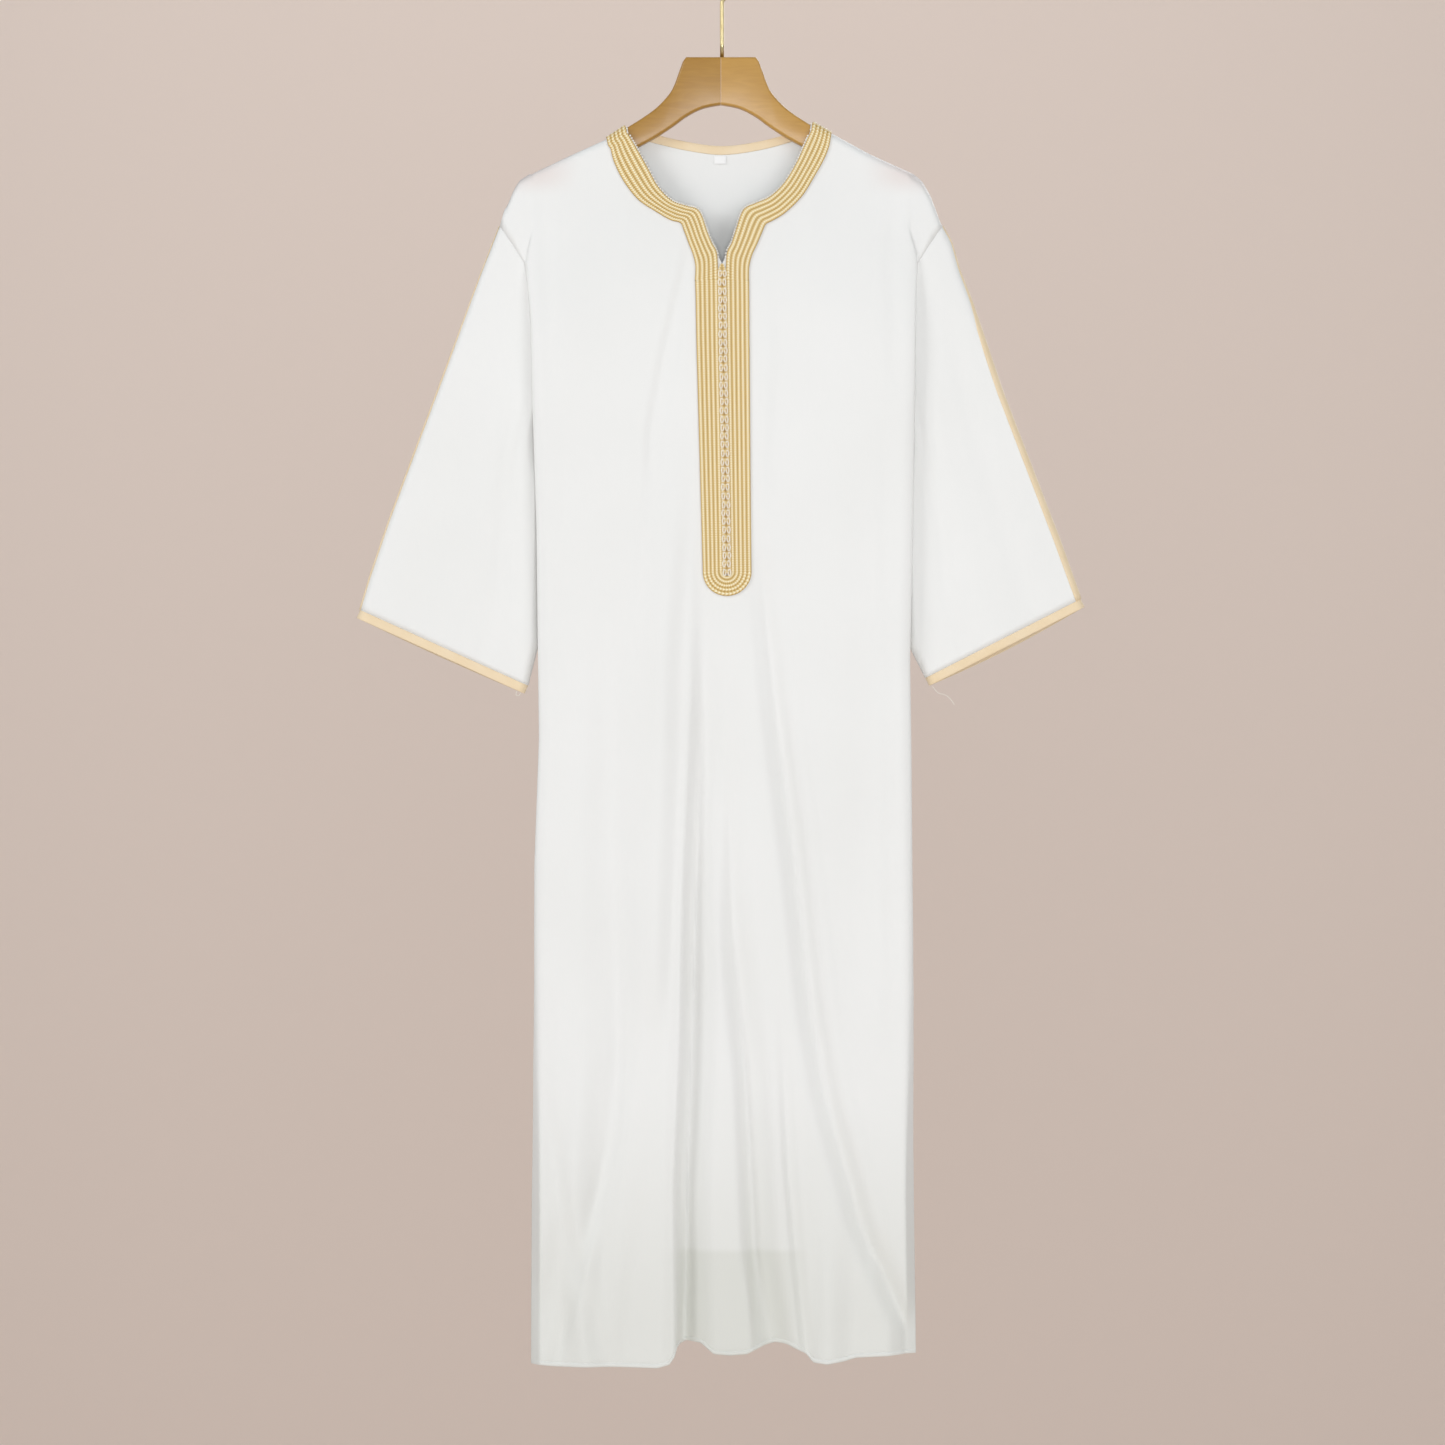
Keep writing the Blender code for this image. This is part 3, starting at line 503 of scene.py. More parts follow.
def start_material(name, **values):
    material = bpy.data.materials.new(name)
    material.use_nodes = True
    tree = material.node_tree
    shader = tree.nodes["Principled BSDF"]
    for key, value in values.items():
        shader.inputs[key.replace("_", " ")].default_value = value
    place = add_node(tree, "ShaderNodeTexCoord").outputs["Object"]
    return material, tree, shader, place


def join_finish(tree, shader, tone, relief, strength, depth=0.0003):
    """Joins a mix node's tone to the shader's colour, and a relief to its normal as a bump."""
    tree.links.new(tone.outputs[2], shader.inputs["Base Color"])
    bump = add_node(tree, "ShaderNodeBump", values={"Strength": strength, "Distance": depth},
                    links={"Height": relief})
    tree.links.new(bump.outputs[0], shader.inputs["Normal"])


# %% [markdown]
# ### White crepe
# The cloth is a fine polyester crepe, woven and heat-set, with a soft satin face. It gives a wide dull
# gloss and a faint upright slub. The threads are 0.2 mm apart, too fine for a picture of the whole robe,
# so the slub is drawn 2 mm wide. Past the hanger's ends the cloth hangs clear of the wood, and a pale pink
# tint is painted there as painted light: the warm room's light that shines through it. Near the hem, below
# the back panel's own turned edge, a darker step is painted in as shade seen through one layer, and the
# whole skirt is painted darker towards the hem as painted shade. Light through layers of thin cloth would
# take long to render, so these painted tones stand in for it. The slub is a noise that is stretched
# upright.


# %% Crepe material
SLUB = 0.002
TONE_PATCH = 0.2
# Where the painted tones lie, in metres: painted light past the hanger's ends, painted shade near the hem
PAINTED_LIGHT_OUT = (0.150, 0.205)
PAINTED_LIGHT_UP = (-0.262, -0.232)
PAINTED_SHADE_DOWN = (-1.20, -1.52)
PAINTED_STEP_BELOW_BACK_HEM = (-1.415, -1.424)
PAINTED_STEP_MIDDLE_X = 0.018
PAINTED_STEP_SIDES = (0.085, 0.045)


def make_crepe(name, light="#f6f6f5", dark="#efefed", painted_light_through="#ece3e0", shade="#dcddd6"):
    material, tree, shader, place = start_material(
        name, Roughness=0.52, IOR=1.5, Specular_IOR_Level=0.35, Sheen_Weight=0.18, Sheen_Roughness=0.4)
    upright = add_node(tree, "ShaderNodeMapping", values={"Scale": (1.0, 1.0, 0.12)},
                       links={"Vector": place})
    slub = add_node(tree, "ShaderNodeTexNoise", values={"Scale": 1 / SLUB, "Detail": 3.0},
                    links={"Vector": upright.outputs[0]})
    cloud = add_node(tree, "ShaderNodeTexNoise", values={"Scale": 1 / TONE_PATCH, "Detail": 2.0},
                     links={"Vector": place})
    tone = add_node(tree, *MIX, two_tones(light, dark), {0: cloud.outputs["Fac"]})
    parts = add_node(tree, "ShaderNodeSeparateXYZ", links={"Vector": place})
    out = add_node(tree, "ShaderNodeMath", {"operation": "ABSOLUTE"}, links={0: parts.outputs["X"]})
    # Painted light: a pale pink tint past the hanger's ends stands for the room's light through the cloth
    beyond = add_node(tree, *RAMP, between(*PAINTED_LIGHT_OUT), {"Value": out.outputs[0]})
    high = add_node(tree, *RAMP, between(*PAINTED_LIGHT_UP), {"Value": parts.outputs["Z"]})
    painted_light_patch = add_node(tree, "ShaderNodeMath", {"operation": "MULTIPLY"},
                     links={0: beyond.outputs[0], 1: high.outputs[0]})
    tone = add_node(tree, *MIX, {7: hex_colour(painted_light_through)}, {0: painted_light_patch.outputs[0], 6: tone.outputs[2]})
    # Painted shade: the whole skirt is painted darker towards the hem
    low = add_node(tree, *RAMP, {**between(*PAINTED_SHADE_DOWN), "To Max": 0.55}, {"Value": parts.outputs["Z"]})
    tone = add_node(tree, *MIX, {7: hex_colour(shade)}, {0: low.outputs[0], 6: tone.outputs[2]})
    # Painted shade: a darker step below the back panel's hem, strongest near the middle, for the shade
    # seen through one layer
    below = add_node(tree, *RAMP, between(*PAINTED_STEP_BELOW_BACK_HEM), {"Value": parts.outputs["Z"]})
    from_middle = add_node(tree, "ShaderNodeMath", {"operation": "SUBTRACT"}, {1: PAINTED_STEP_MIDDLE_X},
                           {0: parts.outputs["X"]})
    off_middle = add_node(tree, "ShaderNodeMath", {"operation": "ABSOLUTE"},
                          links={0: from_middle.outputs[0]})
    near = add_node(tree, *RAMP, between(*PAINTED_STEP_SIDES), {"Value": off_middle.outputs[0]})
    step = add_node(tree, "ShaderNodeMath", {"operation": "MULTIPLY"},
                    links={0: below.outputs[0], 1: near.outputs[0]})
    painted_hem_step = add_node(tree, "ShaderNodeMath", {"operation": "MULTIPLY"}, {1: 0.6}, {0: step.outputs[0]})
    tone = add_node(tree, *MIX, {7: hex_colour(shade)}, {0: painted_hem_step.outputs[0], 6: tone.outputs[2]})
    join_finish(tree, shader, tone, slub.outputs["Fac"], 0.22, 0.0004)
    return material


CREPE = make_crepe("white_polyester_crepe")

# %% [markdown]
# ### Cream binding
# The cuffs, the back neck and the over-arm seams are covered with a bias-cut satin binding, folded and
# stitched. It is matt. Its slanting ribs are about 0.4 mm apart, too fine to show, so they are drawn 2.4
# mm apart. They are a wave texture that is turned on the bias.


# %% Binding material
RIB_SCALE = 130.0


def make_binding():
    material, tree, shader, place = start_material(
        "cream_bias_binding", Roughness=0.6, IOR=1.5, Specular_IOR_Level=0.3, Sheen_Weight=0.25)
    turned = add_node(tree, "ShaderNodeMapping", values={"Rotation": (0.0, math.radians(38), 0.0)},
                      links={"Vector": place})
    ribs = add_node(tree, "ShaderNodeTexWave", {"bands_direction": "X"},
                    {"Scale": RIB_SCALE, "Distortion": 1.5, "Detail": 1.0}, {"Vector": turned.outputs[0]})
    cloud = add_node(tree, "ShaderNodeTexNoise", values={"Scale": 40.0, "Detail": 3.0},
                     links={"Vector": place})
    tone = add_node(tree, *MIX, two_tones("#f9e6c8", "#f0d7ae"), {0: cloud.outputs["Fac"]})
    join_finish(tree, shader, tone, ribs.outputs["Fac"], 0.25)
    return material


BINDING = make_binding()

# %% [markdown]
# ### Gold rayon braid
# The braid is machine-made from bright rayon threads that are laid as a chain in each row. The pattern
# follows the piece's own map: the first number runs along the row in millimetres, the second counts rows
# across. Away from a row's middle, 0 is its crest and 0.5 is the groove beside it. Over the braid's own
# gold, each crest is painted paler as a painted highlight and each groove darker as painted shade. Such a
# pattern turns with the braid round the neck, which one on Object coordinates would not.


# %% Braid material
CHAIN = 2.6
CHAIN_SLANT = 2.4


def make_braid_material():
    # Across a row, 0 is its crest, painted paler as a highlight, and 0.5 the groove, painted dark as
    # shade.
    material, tree, shader, _ = start_material(
        "gold_rayon_braid", Roughness=0.42, IOR=1.5, Specular_IOR_Level=0.5, Sheen_Weight=0.3,
        Sheen_Roughness=0.3)
    place = add_node(tree, "ShaderNodeUVMap", {"uv_map": "along_across"})
    parts = add_node(tree, "ShaderNodeSeparateXYZ", links={"Vector": place.outputs[0]})
    row = add_node(tree, "ShaderNodeMath", {"operation": "FRACT"}, links={0: parts.outputs["Y"]})
    off = add_node(tree, "ShaderNodeMath", {"operation": "SUBTRACT"}, {1: 0.5}, {0: row.outputs[0]})
    away = add_node(tree, "ShaderNodeMath", {"operation": "ABSOLUTE"}, links={0: off.outputs[0]})
    # Painted shade: the groove between rows is darker
    groove = add_node(tree, *RAMP, between(0.34, 0.5), {"Value": away.outputs[0]})
    side_of_row = add_node(tree, *RAMP, between(0.04, 0.30), {"Value": away.outputs[0]})
    slant = add_node(tree, "ShaderNodeMath", {"operation": "MULTIPLY_ADD"}, {1: CHAIN_SLANT},
                     {0: away.outputs[0], 2: parts.outputs["X"]})
    turns = add_node(tree, "ShaderNodeMath", {"operation": "MULTIPLY"}, {1: 2 * math.pi / CHAIN},
                     {0: slant.outputs[0]})
    wave = add_node(tree, "ShaderNodeMath", {"operation": "SINE"}, links={0: turns.outputs[0]})
    thread = add_node(tree, *RAMP, between(-0.7, 0.7), {"Value": wave.outputs[0]})
    # Painted highlight: each crest is paler than the braid's own gold flanks
    crest = add_node(tree, *MIX, two_tones("#f3dba2", "#fff8dc"), {0: thread.outputs[0]})
    flank = add_node(tree, *MIX, two_tones("#cda960", "#eed498"), {0: thread.outputs[0]})
    row_tone = add_node(tree, *MIX,
                        links={0: side_of_row.outputs[0], 6: crest.outputs[2], 7: flank.outputs[2]})
    tone = add_node(tree, *MIX, {7: hex_colour("#b8924a")}, {0: groove.outputs[0], 6: row_tone.outputs[2]})
    join_finish(tree, shader, tone, thread.outputs[0], 0.4)
    return material


BRAID = make_braid_material()

# %% [markdown]
# ### Knot cord, edge thread, wood and brass
# The knots are tied from the same gold rayon cord, with paler loops. The picot edge is white mercerised
# cotton. Their strands are drawn 1.1 mm wide. The hanger is beech under a clear satin lacquer, sawn
# along the grain, with streaks 37 mm long and 6 mm wide and fibres about 1 mm wide. The hook is polished
# brass-plated steel.


# %% Cord, thread, wood and brass materials
STRAND_SCALE = 900.0
GRAIN = (9.0, 60.0, 60.0)
FIBRE = (60.0, 900.0, 900.0)


def make_thread(name, light, dark):
    material, tree, shader, place = start_material(name, Roughness=0.5, IOR=1.5, Sheen_Weight=0.2)
    strands = add_node(tree, "ShaderNodeTexNoise", values={"Scale": STRAND_SCALE, "Detail": 2.0},
                       links={"Vector": place})
    tone = add_node(tree, *MIX, two_tones(light, dark), {0: strands.outputs["Fac"]})
    join_finish(tree, shader, tone, strands.outputs["Fac"], 0.4)
    return material


def make_wood(name, light, dark):
    material, tree, shader, place = start_material(
        name, Roughness=0.38, IOR=1.5, Coat_Weight=0.25, Coat_Roughness=0.2)
    stretched = add_node(tree, "ShaderNodeMapping", values={"Scale": GRAIN}, links={"Vector": place})
    grain = add_node(tree, "ShaderNodeTexNoise", values={"Scale": 3.0, "Detail": 6.0, "Distortion": 1.2},
                     links={"Vector": stretched.outputs[0]})
    drawn_out = add_node(tree, "ShaderNodeMapping", values={"Scale": FIBRE}, links={"Vector": place})
    fibre = add_node(tree, "ShaderNodeTexNoise", values={"Scale": 1.0, "Detail": 2.0},
                     links={"Vector": drawn_out.outputs[0]})
    tone = add_node(tree, *MIX, two_tones(light, dark), {0: grain.outputs["Fac"]})
    join_finish(tree, shader, tone, fibre.outputs["Fac"], 0.12)
    return material


def make_brass():
    material, tree, shader, place = start_material("pale_brass_plate", Roughness=0.28, Metallic=1.0)
    wear = add_node(tree, "ShaderNodeTexNoise", values={"Scale": 120.0, "Detail": 3.0},
                    links={"Vector": place})
    tone = add_node(tree, *MIX, two_tones("#e0d3a6", "#c2ad79"), {0: wear.outputs["Fac"]})
    tree.links.new(tone.outputs[2], shader.inputs["Base Color"])
    return material


KNOT = make_thread("gold_knot_cord", "#f6e2b0", "#dcbd7c")
LOOP = make_thread("cream_loop_cord", "#fffaf0", "#fbf0da")
PICOT = make_thread("white_picot_thread", "#fffdf6", "#f5eedf")
WOOD = {-1: make_wood("lacquered_beech_left", "#bb8e3e", "#a2732b"),
        1: make_wood("lacquered_beech_right", "#cd9f4f", "#b6863c")}
BRASS = make_brass()
LABEL = make_crepe("white_label_tape", "#ffffff", "#f8f8f8", "#fcfcfc")
print("materials:", len(bpy.data.materials))

# %% [markdown]
# ## Front and back panels
# Each panel is one piece of cloth from the shoulder to a narrow rolled hem, with slits at the foot of
# its sides. The hem band is about 4 mm deep and stands out by up to 1 mm, so it catches the light as a
# bright line. A rectangle cut by the outline would leave ragged edges, so the points lie in rows from
# side seam to side seam, and the first and last rows follow the neck and the hem.

# %% Make the panels
STEP = 3.3
BACK_NECK = finer(BACK_NECK, 31)
front_rows = panel_rows_of_points(NECKLINE, front_y, -1, 0.0, STEP)
front_cloth = finish_piece("front_panel", sheet_builder(front_rows), CREPE, CLOTH)
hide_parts("front")
back_rows = panel_rows_of_points(BACK_NECK, back_y, 1, BACK_INSET, STEP * 1.2)
back_cloth = finish_piece("back_panel", sheet_builder(back_rows), CREPE, CLOTH)
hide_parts("back")
print("front panel grid:", len(front_rows), "rows of", len(front_rows[0]))

# %% [markdown]
# ## Sleeves
# A sleeve is a wide flat tube that widens to the cuff. Its two halves meet at the over-arm seam and the
# underarm seam, and each is a patch stretched between its armhole, its two seams and its cuff line. A
# tube that is pressed flat would have no seams, so each half is a sheet of its own.

# %% Make the sleeves
SLEEVE_ROUND = 0.045
SLEEVE_DEPTH = 8.5
SLEEVE_BELLY = 2.5
SLEEVE_LAP = 1.3
UNDER_GAP = 6.5
SLEEVE_ROWS = 64
ACROSS = [0, 0.003, 0.007, 0.012, 0.018, 0.026, 0.036, 0.048] + spread([0.065, 0.93], 0.018) + \
    [0.945, 0.96, 0.972, 0.982, 0.99, 0.996, 1.0]


def sleeve_rows(side, facing):
    """Rows of points from the armhole to the cuff, each from the over-arm seam to the underarm seam."""
    over, under = OVER_ARM[side], UNDER_ARM[side]
    rows = []
    for i in range(SLEEVE_ROWS + 1):
        s = i / SLEEVE_ROWS
        over_z, under_z = mix(over.z[0], over.z[-1], s), mix(under.z[0], under.z[-1], s)
        outer = Vector((np.interp(-over_z, -over.z, over.x), 0, over_z))
        inner = Vector((np.interp(-under_z, -under.z, under.x), 0, under_z))
        row = []
        for t in ACROSS:
            seam = armhole_point(t, side, facing)
            tucked = smooth((t - 0.12) / 0.22)
            start_y = max(abs(seam.y) - SLEEVE_LAP * tucked, EDGE_Y)
            seam.x += side * UNDER_GAP * smooth((t - 0.55) / 0.4)
            cuff_drop = CUFF_BACK_DROP[side] * math.sin(math.pi * t) if facing > 0 else 0.0
            flat_top = Vector((mix(over.x[0], under.x[0], t), 0, mix(over.z[0], under.z[0], t)))
            place = outer.lerp(inner, t) + (seam - flat_top) * (1 - s)
            place.z -= cuff_drop * s
            rounded = quarter(t / SLEEVE_ROUND) * quarter((1 - t) / SLEEVE_ROUND)
            depth = EDGE_Y + SLEEVE_DEPTH * rounded + SLEEVE_BELLY * math.sin(math.pi * t)
            for drag in SLEEVE_DRAGS:
                away = abs(t - mix(drag.at_top, drag.at_cuff, s)) / drag.width
                if away < 1:
                    shape = 0.5 + 0.5 * math.cos(math.pi * away)
                    depth -= drag.depth * shape * smooth(s / 0.3) * rounded
            depth = mix(start_y, depth, smooth(s / 0.3))
            row.append(Vector((place.x, facing * depth, place.z)))
        rows.append(row)
    allowance = []
    for point in rows[0]:
        share = min(max(abs(point.y) - 1.5, 0.0) / 3, 1.0)
        allowance.append(point + Vector((-side * 3.5 * share, -facing * 1.1 * share, 0.2)))
    return [allowance, *rows]


SIDES = ((-1, "left"), (1, "right"))
sleeves, sleeve_points = {}, {}
for side, word in SIDES:
    for facing, layer in ((-1, "front"), (1, "back")):
        rows = sleeve_rows(side, facing)
        sleeve_points[side, facing] = rows
        half = finish_piece(f"sleeve_{word}_{layer}_half", sheet_builder(rows), CREPE, CLOTH)
        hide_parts(f"sleeve_{word}_{layer}")
        sleeves[side, facing] = half
print("sleeve halves:", len(sleeves))

# %% [markdown]
# ## Cuff bindings
# The binding is folded over the raw edge all round the cuff, so it is a flat ring a little thicker than
# the sleeve. A row of stitching presses it down near its upper edge, which the cross-section shows as a
# shallow groove. The sleeve's last row of points is carried down through that section, so the ring fits
# the cuff.

# %% Make the cuffs
CUFF_WALL = 0.7
CUFF_PROFILE = table(
    "down out",
    (0.1, 0.0), (0.6, 0.42), (1.4, 0.22), (2.2, 0.45), (4.8, 0.6), (7.2, 0.5), (8.2, 0.42), (9.2, 0.2),
    (9.7, 0.0),
)


def ring_of(front_row, back_row):
    ends = [Vector((p.x, 0, p.z)) for p in (front_row[0], front_row[-1])]
    return [ends[0], *front_row[1:-1], ends[1], *reversed(back_row[1:-1])]


def closed_rings(rings, material, name, wall):
    """A tube of cloth through rings of points, sewn shut along its first and last columns."""
    rows = [[*ring, ring[0].copy()] for ring in rings]
    builder = sheet_builder(rows)
    bmesh.ops.remove_doubles(builder, verts=builder.verts, dist=0.001)
    bmesh.ops.recalc_face_normals(builder, faces=builder.faces)
    return finish_piece(name, builder, material, wall)


for side, word in SIDES:
    front_row, back_row = sleeve_points[side, -1][-1], sleeve_points[side, 1][-1]
    slope = front_row[-1] - front_row[0]
    down = Vector((slope.z, 0, -slope.x)).normalized()
    if down.z > 0:
        down = -down
    ring = ring_of(front_row, back_row)
    rings = []
    for drop, out in zip(CUFF_PROFILE.down, CUFF_PROFILE.out):
        moved = []
        for p in ring:
            facing = Vector((0, 1, 0)) if p.y > 0 else Vector((0, -1, 0))
            moved.append(p + down * drop + facing * out * min(abs(p.y) / 4, 1.0))
        rings.append(moved)
    closed_rings(rings, BINDING, f"cuff_binding_{word}", CUFF_WALL)
    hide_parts(f"cuff_{word}")

# %% [markdown]
# ## Over-arm tapes
# A cream tape covers each over-arm seam. It is laid on the sleeve's own points, lifted to clear them, so
# that it bends with the seam. On the viewer's right it is turned to the front and shows 6 mm; on the
# left it is turned to the back.

# %% Make the tapes
TAPE_ACROSS = {-1: (0.008, 0.040), 1: (0.036, 0.012)}
TAPE_FULL = {-1: 0.9, 1: 0.95}
TAPE_LIFT = 1.15
TAPE_WALL = 0.8
for side, word in SIDES:
    front_share, back_share = TAPE_ACROSS[side]
    front_cols = [k for k, t in enumerate(ACROSS) if 0 < t <= front_share]
    back_cols = [k for k, t in enumerate(ACROSS) if 0 < t <= back_share]
    rows = []
    pairs = zip(sleeve_points[side, -1][1:], sleeve_points[side, 1][1:])
    for down, (front_row, back_row) in enumerate(pairs):
        edge = Vector((front_row[0].x, 0, front_row[0].z))
        width = mix(0.3, TAPE_FULL[side], smooth(down / 24))
        row = [edge.lerp(front_row[k], width) for k in reversed(front_cols)]
        rows.append([*row, edge, *(edge.lerp(back_row[k], width) for k in back_cols)])
    builder = sheet_builder(rows)
    builder.normal_update()
    verts = sorted(builder.verts, key=lambda v: v.co.x * side)
    sign = 1.0 if verts[-1].normal.x * side > 0 else -1.0
    lifts = [(v, v.normal * sign * TAPE_LIFT) for v in builder.verts]
    for v, lift in lifts:
        v.co += lift
    finish_piece(f"over_arm_tape_{word}", builder, BINDING, TAPE_WALL)
    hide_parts(f"sleeve_tape_{word}")

# %% [markdown]
# ## Back neck binding and label
# The back neck edge is bound with the same cream strip, which is a folded section carried along the neck
# line, and the size label hangs from it inside. The label is a bare woven tag with cut edges, so it is a
# bevelled block of its solid's own size.

# %% Make the back neck binding and the label
NECK_BINDING = table(
    "drop out",
    (-0.6, 0.75), (0.4, 0.9), (4.5, 1.0), (8.3, 0.7), (9.2, 0.0), (8.3, -0.7), (4.5, -1.0), (0.4, -0.9),
    (-0.6, -0.75),
)
LABEL_ROUND = 0.14
neck_x, neck_z = rolled_neck(BACK_NECK)
bind_x = np.linspace(BACK_NECK.x[0] - 5, BACK_NECK.x[-1] + 5, 64)
rows = []
for drop, out in zip(NECK_BINDING.drop, NECK_BINDING.out):
    row = []
    for x in bind_x:
        edge_z = float(np.interp(x, neck_x, neck_z))
        row.append(Vector((x, back_y(x, edge_z) + out, edge_z + drop)))
    rows.append(row)
binding = finish_piece("back_neck_bias_binding", sheet_builder(rows), BINDING, 0.35)
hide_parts("back_neck_binding")

label_builder = bmesh.new()
low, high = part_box("size_label")
middle = [(a + b) / 2 / MM for a, b in zip(low, high)]
size = [(b - a) / MM for a, b in zip(low, high)]
bmesh.ops.create_cube(label_builder, size=1.0)
bmesh.ops.scale(label_builder, vec=size, verts=label_builder.verts)
bmesh.ops.bevel(label_builder, geom=list(label_builder.edges), offset=LABEL_ROUND, segments=2, profile=0.5,
                affect="EDGES", material=-1)
bmesh.ops.translate(label_builder, vec=middle, verts=label_builder.verts)
label = finish_piece("bare_size_label", label_builder, LABEL)
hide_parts("size_label")

# %% [markdown]
# ## Neck braid
# The braid is one band of five rows that runs from the left shoulder round the neck, down the placket,
# round its end and back up. Its sections are worked out along that path, and each row is raised as a
# chain of stitches. One stitch that is repeated along a curve would open on the outside of each bend, so
# the five rows are one surface.

# %% Braid path
CHANNEL_HALF = 4.4
BRAID_END_Z = -673.0
BRAID_END_HALF = 26.5
BRAID_ROWS = 5
BRAID_STEP = 1.25
BRAID_NECK = {
    -1: table(
        "in_x in_z out_x out_z",
        (-101.9, -193, -122.5, -207), (-94.1, -206.5, -118.5, -222), (-82.8, -226.6, -108, -243),
        (-70.4, -249.1, -92, -263.5), (-55, -264.8, -72, -277), (-39.1, -270.6, -57, -285.8),
        (-27.8, -273.9, -45.8, -289.3), (-22.2, -281.6, -42, -297.5), (-16.5, -298.5, -37, -311),
        (-11, -312, -31.5, -325), (-5.5, -324, -28.8, -338), (-4.4, -352, -29.5, -354),
    ),
    1: table(
        "in_x in_z out_x out_z",
        (95.5, -193, 118, -204), (91, -203, 113, -217), (82.2, -222.2, 102, -237),
        (68.8, -244.6, 88, -259.5), (52.8, -260.3, 70, -277.5), (37.4, -267.3, 56, -286.5),
        (27.2, -271.7, 48.4, -290.7), (21.6, -278.3, 44, -300), (14.9, -298.5, 38.5, -313),
        (10.5, -312, 33, -325), (5.3, -324, 29.8, -338), (4.4, -352, 29.5, -354),
    ),
}
START_DROPS = (0.3, 1.3, 2.8, 5.0, 8.5)


def placket_middle(z):
    return float(np.interp(z, (-673, -418, -334), (5.5, 1.0, 0.0)))


def placket_half(z):
    return float(np.interp(z, (BRAID_END_Z, -418, -334), (BRAID_END_HALF, 29.0, 29.5)))


def neck_sections(side):
    """Sections over the shoulder's roll, then down the neckline on a smooth curve through the table."""
    found = []
    end = NECK_ENDS[0] if side < 0 else NECK_ENDS[1]
    for drop in START_DROPS:
        x = end - side * float(np.interp(drop, NECK_ROLL.drop, NECK_ROLL.inward))
        out_x = x + side * 20.5
        found.append((x, cloth_top(x) - drop, out_x, cloth_top(out_x) - drop))
    rows = BRAID_NECK[side]
    count = 150
    for k in range(count):
        t = k / count
        found.append(tuple(through(column, t) for column in rows))
    return found


def placket_sections(side):
    found = []
    for z in np.linspace(-353, BRAID_END_Z, int((353 + BRAID_END_Z) / -BRAID_STEP)):
        middle = placket_middle(z)
        found.append((middle + side * CHANNEL_HALF, z, middle + side * placket_half(z), z))
    return found


def end_sections():
    middle = placket_middle(BRAID_END_Z)
    count = 48
    found = []
    for k in range(1, count):
        angle = math.pi + math.pi * k / count
        across, down = math.cos(angle), math.sin(angle)
        found.append((middle + CHANNEL_HALF * across, BRAID_END_Z + CHANNEL_HALF * down,
                      middle + BRAID_END_HALF * across, BRAID_END_Z + BRAID_END_HALF * down))
    return found


# %% Braid surface
BRAID_LIFT = 1.25
BRAID_BASE = 0.7
BRAID_RIDGE = 1.0
POINTS_A_ROW = 8


def front_normal(x, z):
    step = 1.5
    rise = (front_y(x, min(z + step, cloth_top(x))) - front_y(x, z - step)) / (2 * step)
    run = (front_y(x + step, z) - front_y(x - step, z)) / (2 * step)
    return Vector((run, -1.0, rise)).normalized()


def on_front(x, z, lift):
    return Vector((x, front_y(x, z), z)) + front_normal(x, z) * lift


def row_height(across, along):
    """The height over the base: each row is a rounded ridge of slanting chain stitches."""
    place = abs(across % 1.0 - 0.5)
    ridge = math.cos(math.pi * place)
    chain = 0.5 + 0.5 * math.sin(2 * math.pi * (along + CHAIN_SLANT * place) / CHAIN)
    return BRAID_RIDGE * ridge * (0.72 + 0.28 * chain)


sections = neck_sections(-1) + placket_sections(-1) + end_sections()
sections += placket_sections(1)[::-1] + neck_sections(1)[::-1]
rows, maps = [], []
along = 0.0
previous = None
for in_x, in_z, out_x, out_z in sections:
    centre = Vector(((in_x + out_x) / 2, 0, (in_z + out_z) / 2))
    along += (centre - previous).length if previous else 0.0
    previous = centre
    row, line = [on_front(in_x, in_z, 0.75)], [(along, 0.0)]
    for k in range(BRAID_ROWS * POINTS_A_ROW + 1):
        across = k / POINTS_A_ROW
        share = across / BRAID_ROWS
        x, z = mix(in_x, out_x, share), mix(in_z, out_z, share)
        row.append(on_front(x, z, BRAID_LIFT + BRAID_BASE + row_height(across, along)))
        line.append((along, across))
    row.append(on_front(out_x, out_z, 0.75))
    line.append((along, float(BRAID_ROWS)))
    rows.append(row)
    maps.append(line)
braid = finish_piece("gold_neck_braid", sheet_builder(rows, uv=maps), BRAID, 0.3)
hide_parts("neck_braid")
print("braid:", len(rows), "sections, about", round(along), "mm along its middle")

# %% [markdown]
# ## Button strip and knots
# Between the two sides of the braid runs a narrow strip with the loops, and 36 small knots sit on it. A
# knot is a ball of cord with its turns showing, so each ball is ridged, with a pale loop on either side.
# The crossings of a real knot are too small to show, so rings that swell and narrow stand for them.

# %% Make the strip
rows, maps = [], []
for z in np.linspace(-334.5, BRAID_END_Z - 3, 262):
    middle = placket_middle(z)
    half = min(4.9, 1.2 + (-334.5 - z) * 0.5)
    row, line = [], []
    for k, across in enumerate((-1, -0.6, -0.2, 0.2, 0.6, 1)):
        lift = BRAID_LIFT + 0.5 + (0.5 - abs(across) * 0.3)
        row.append(on_front(middle + across * half, z, lift))
        line.append((z, 0.5 + 0.2 * k))
    rows.append(row)
    maps.append(line)
strip = finish_piece("loop_strip", sheet_builder(rows, uv=maps), BRAID, 0.4)
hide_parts("button_strip")


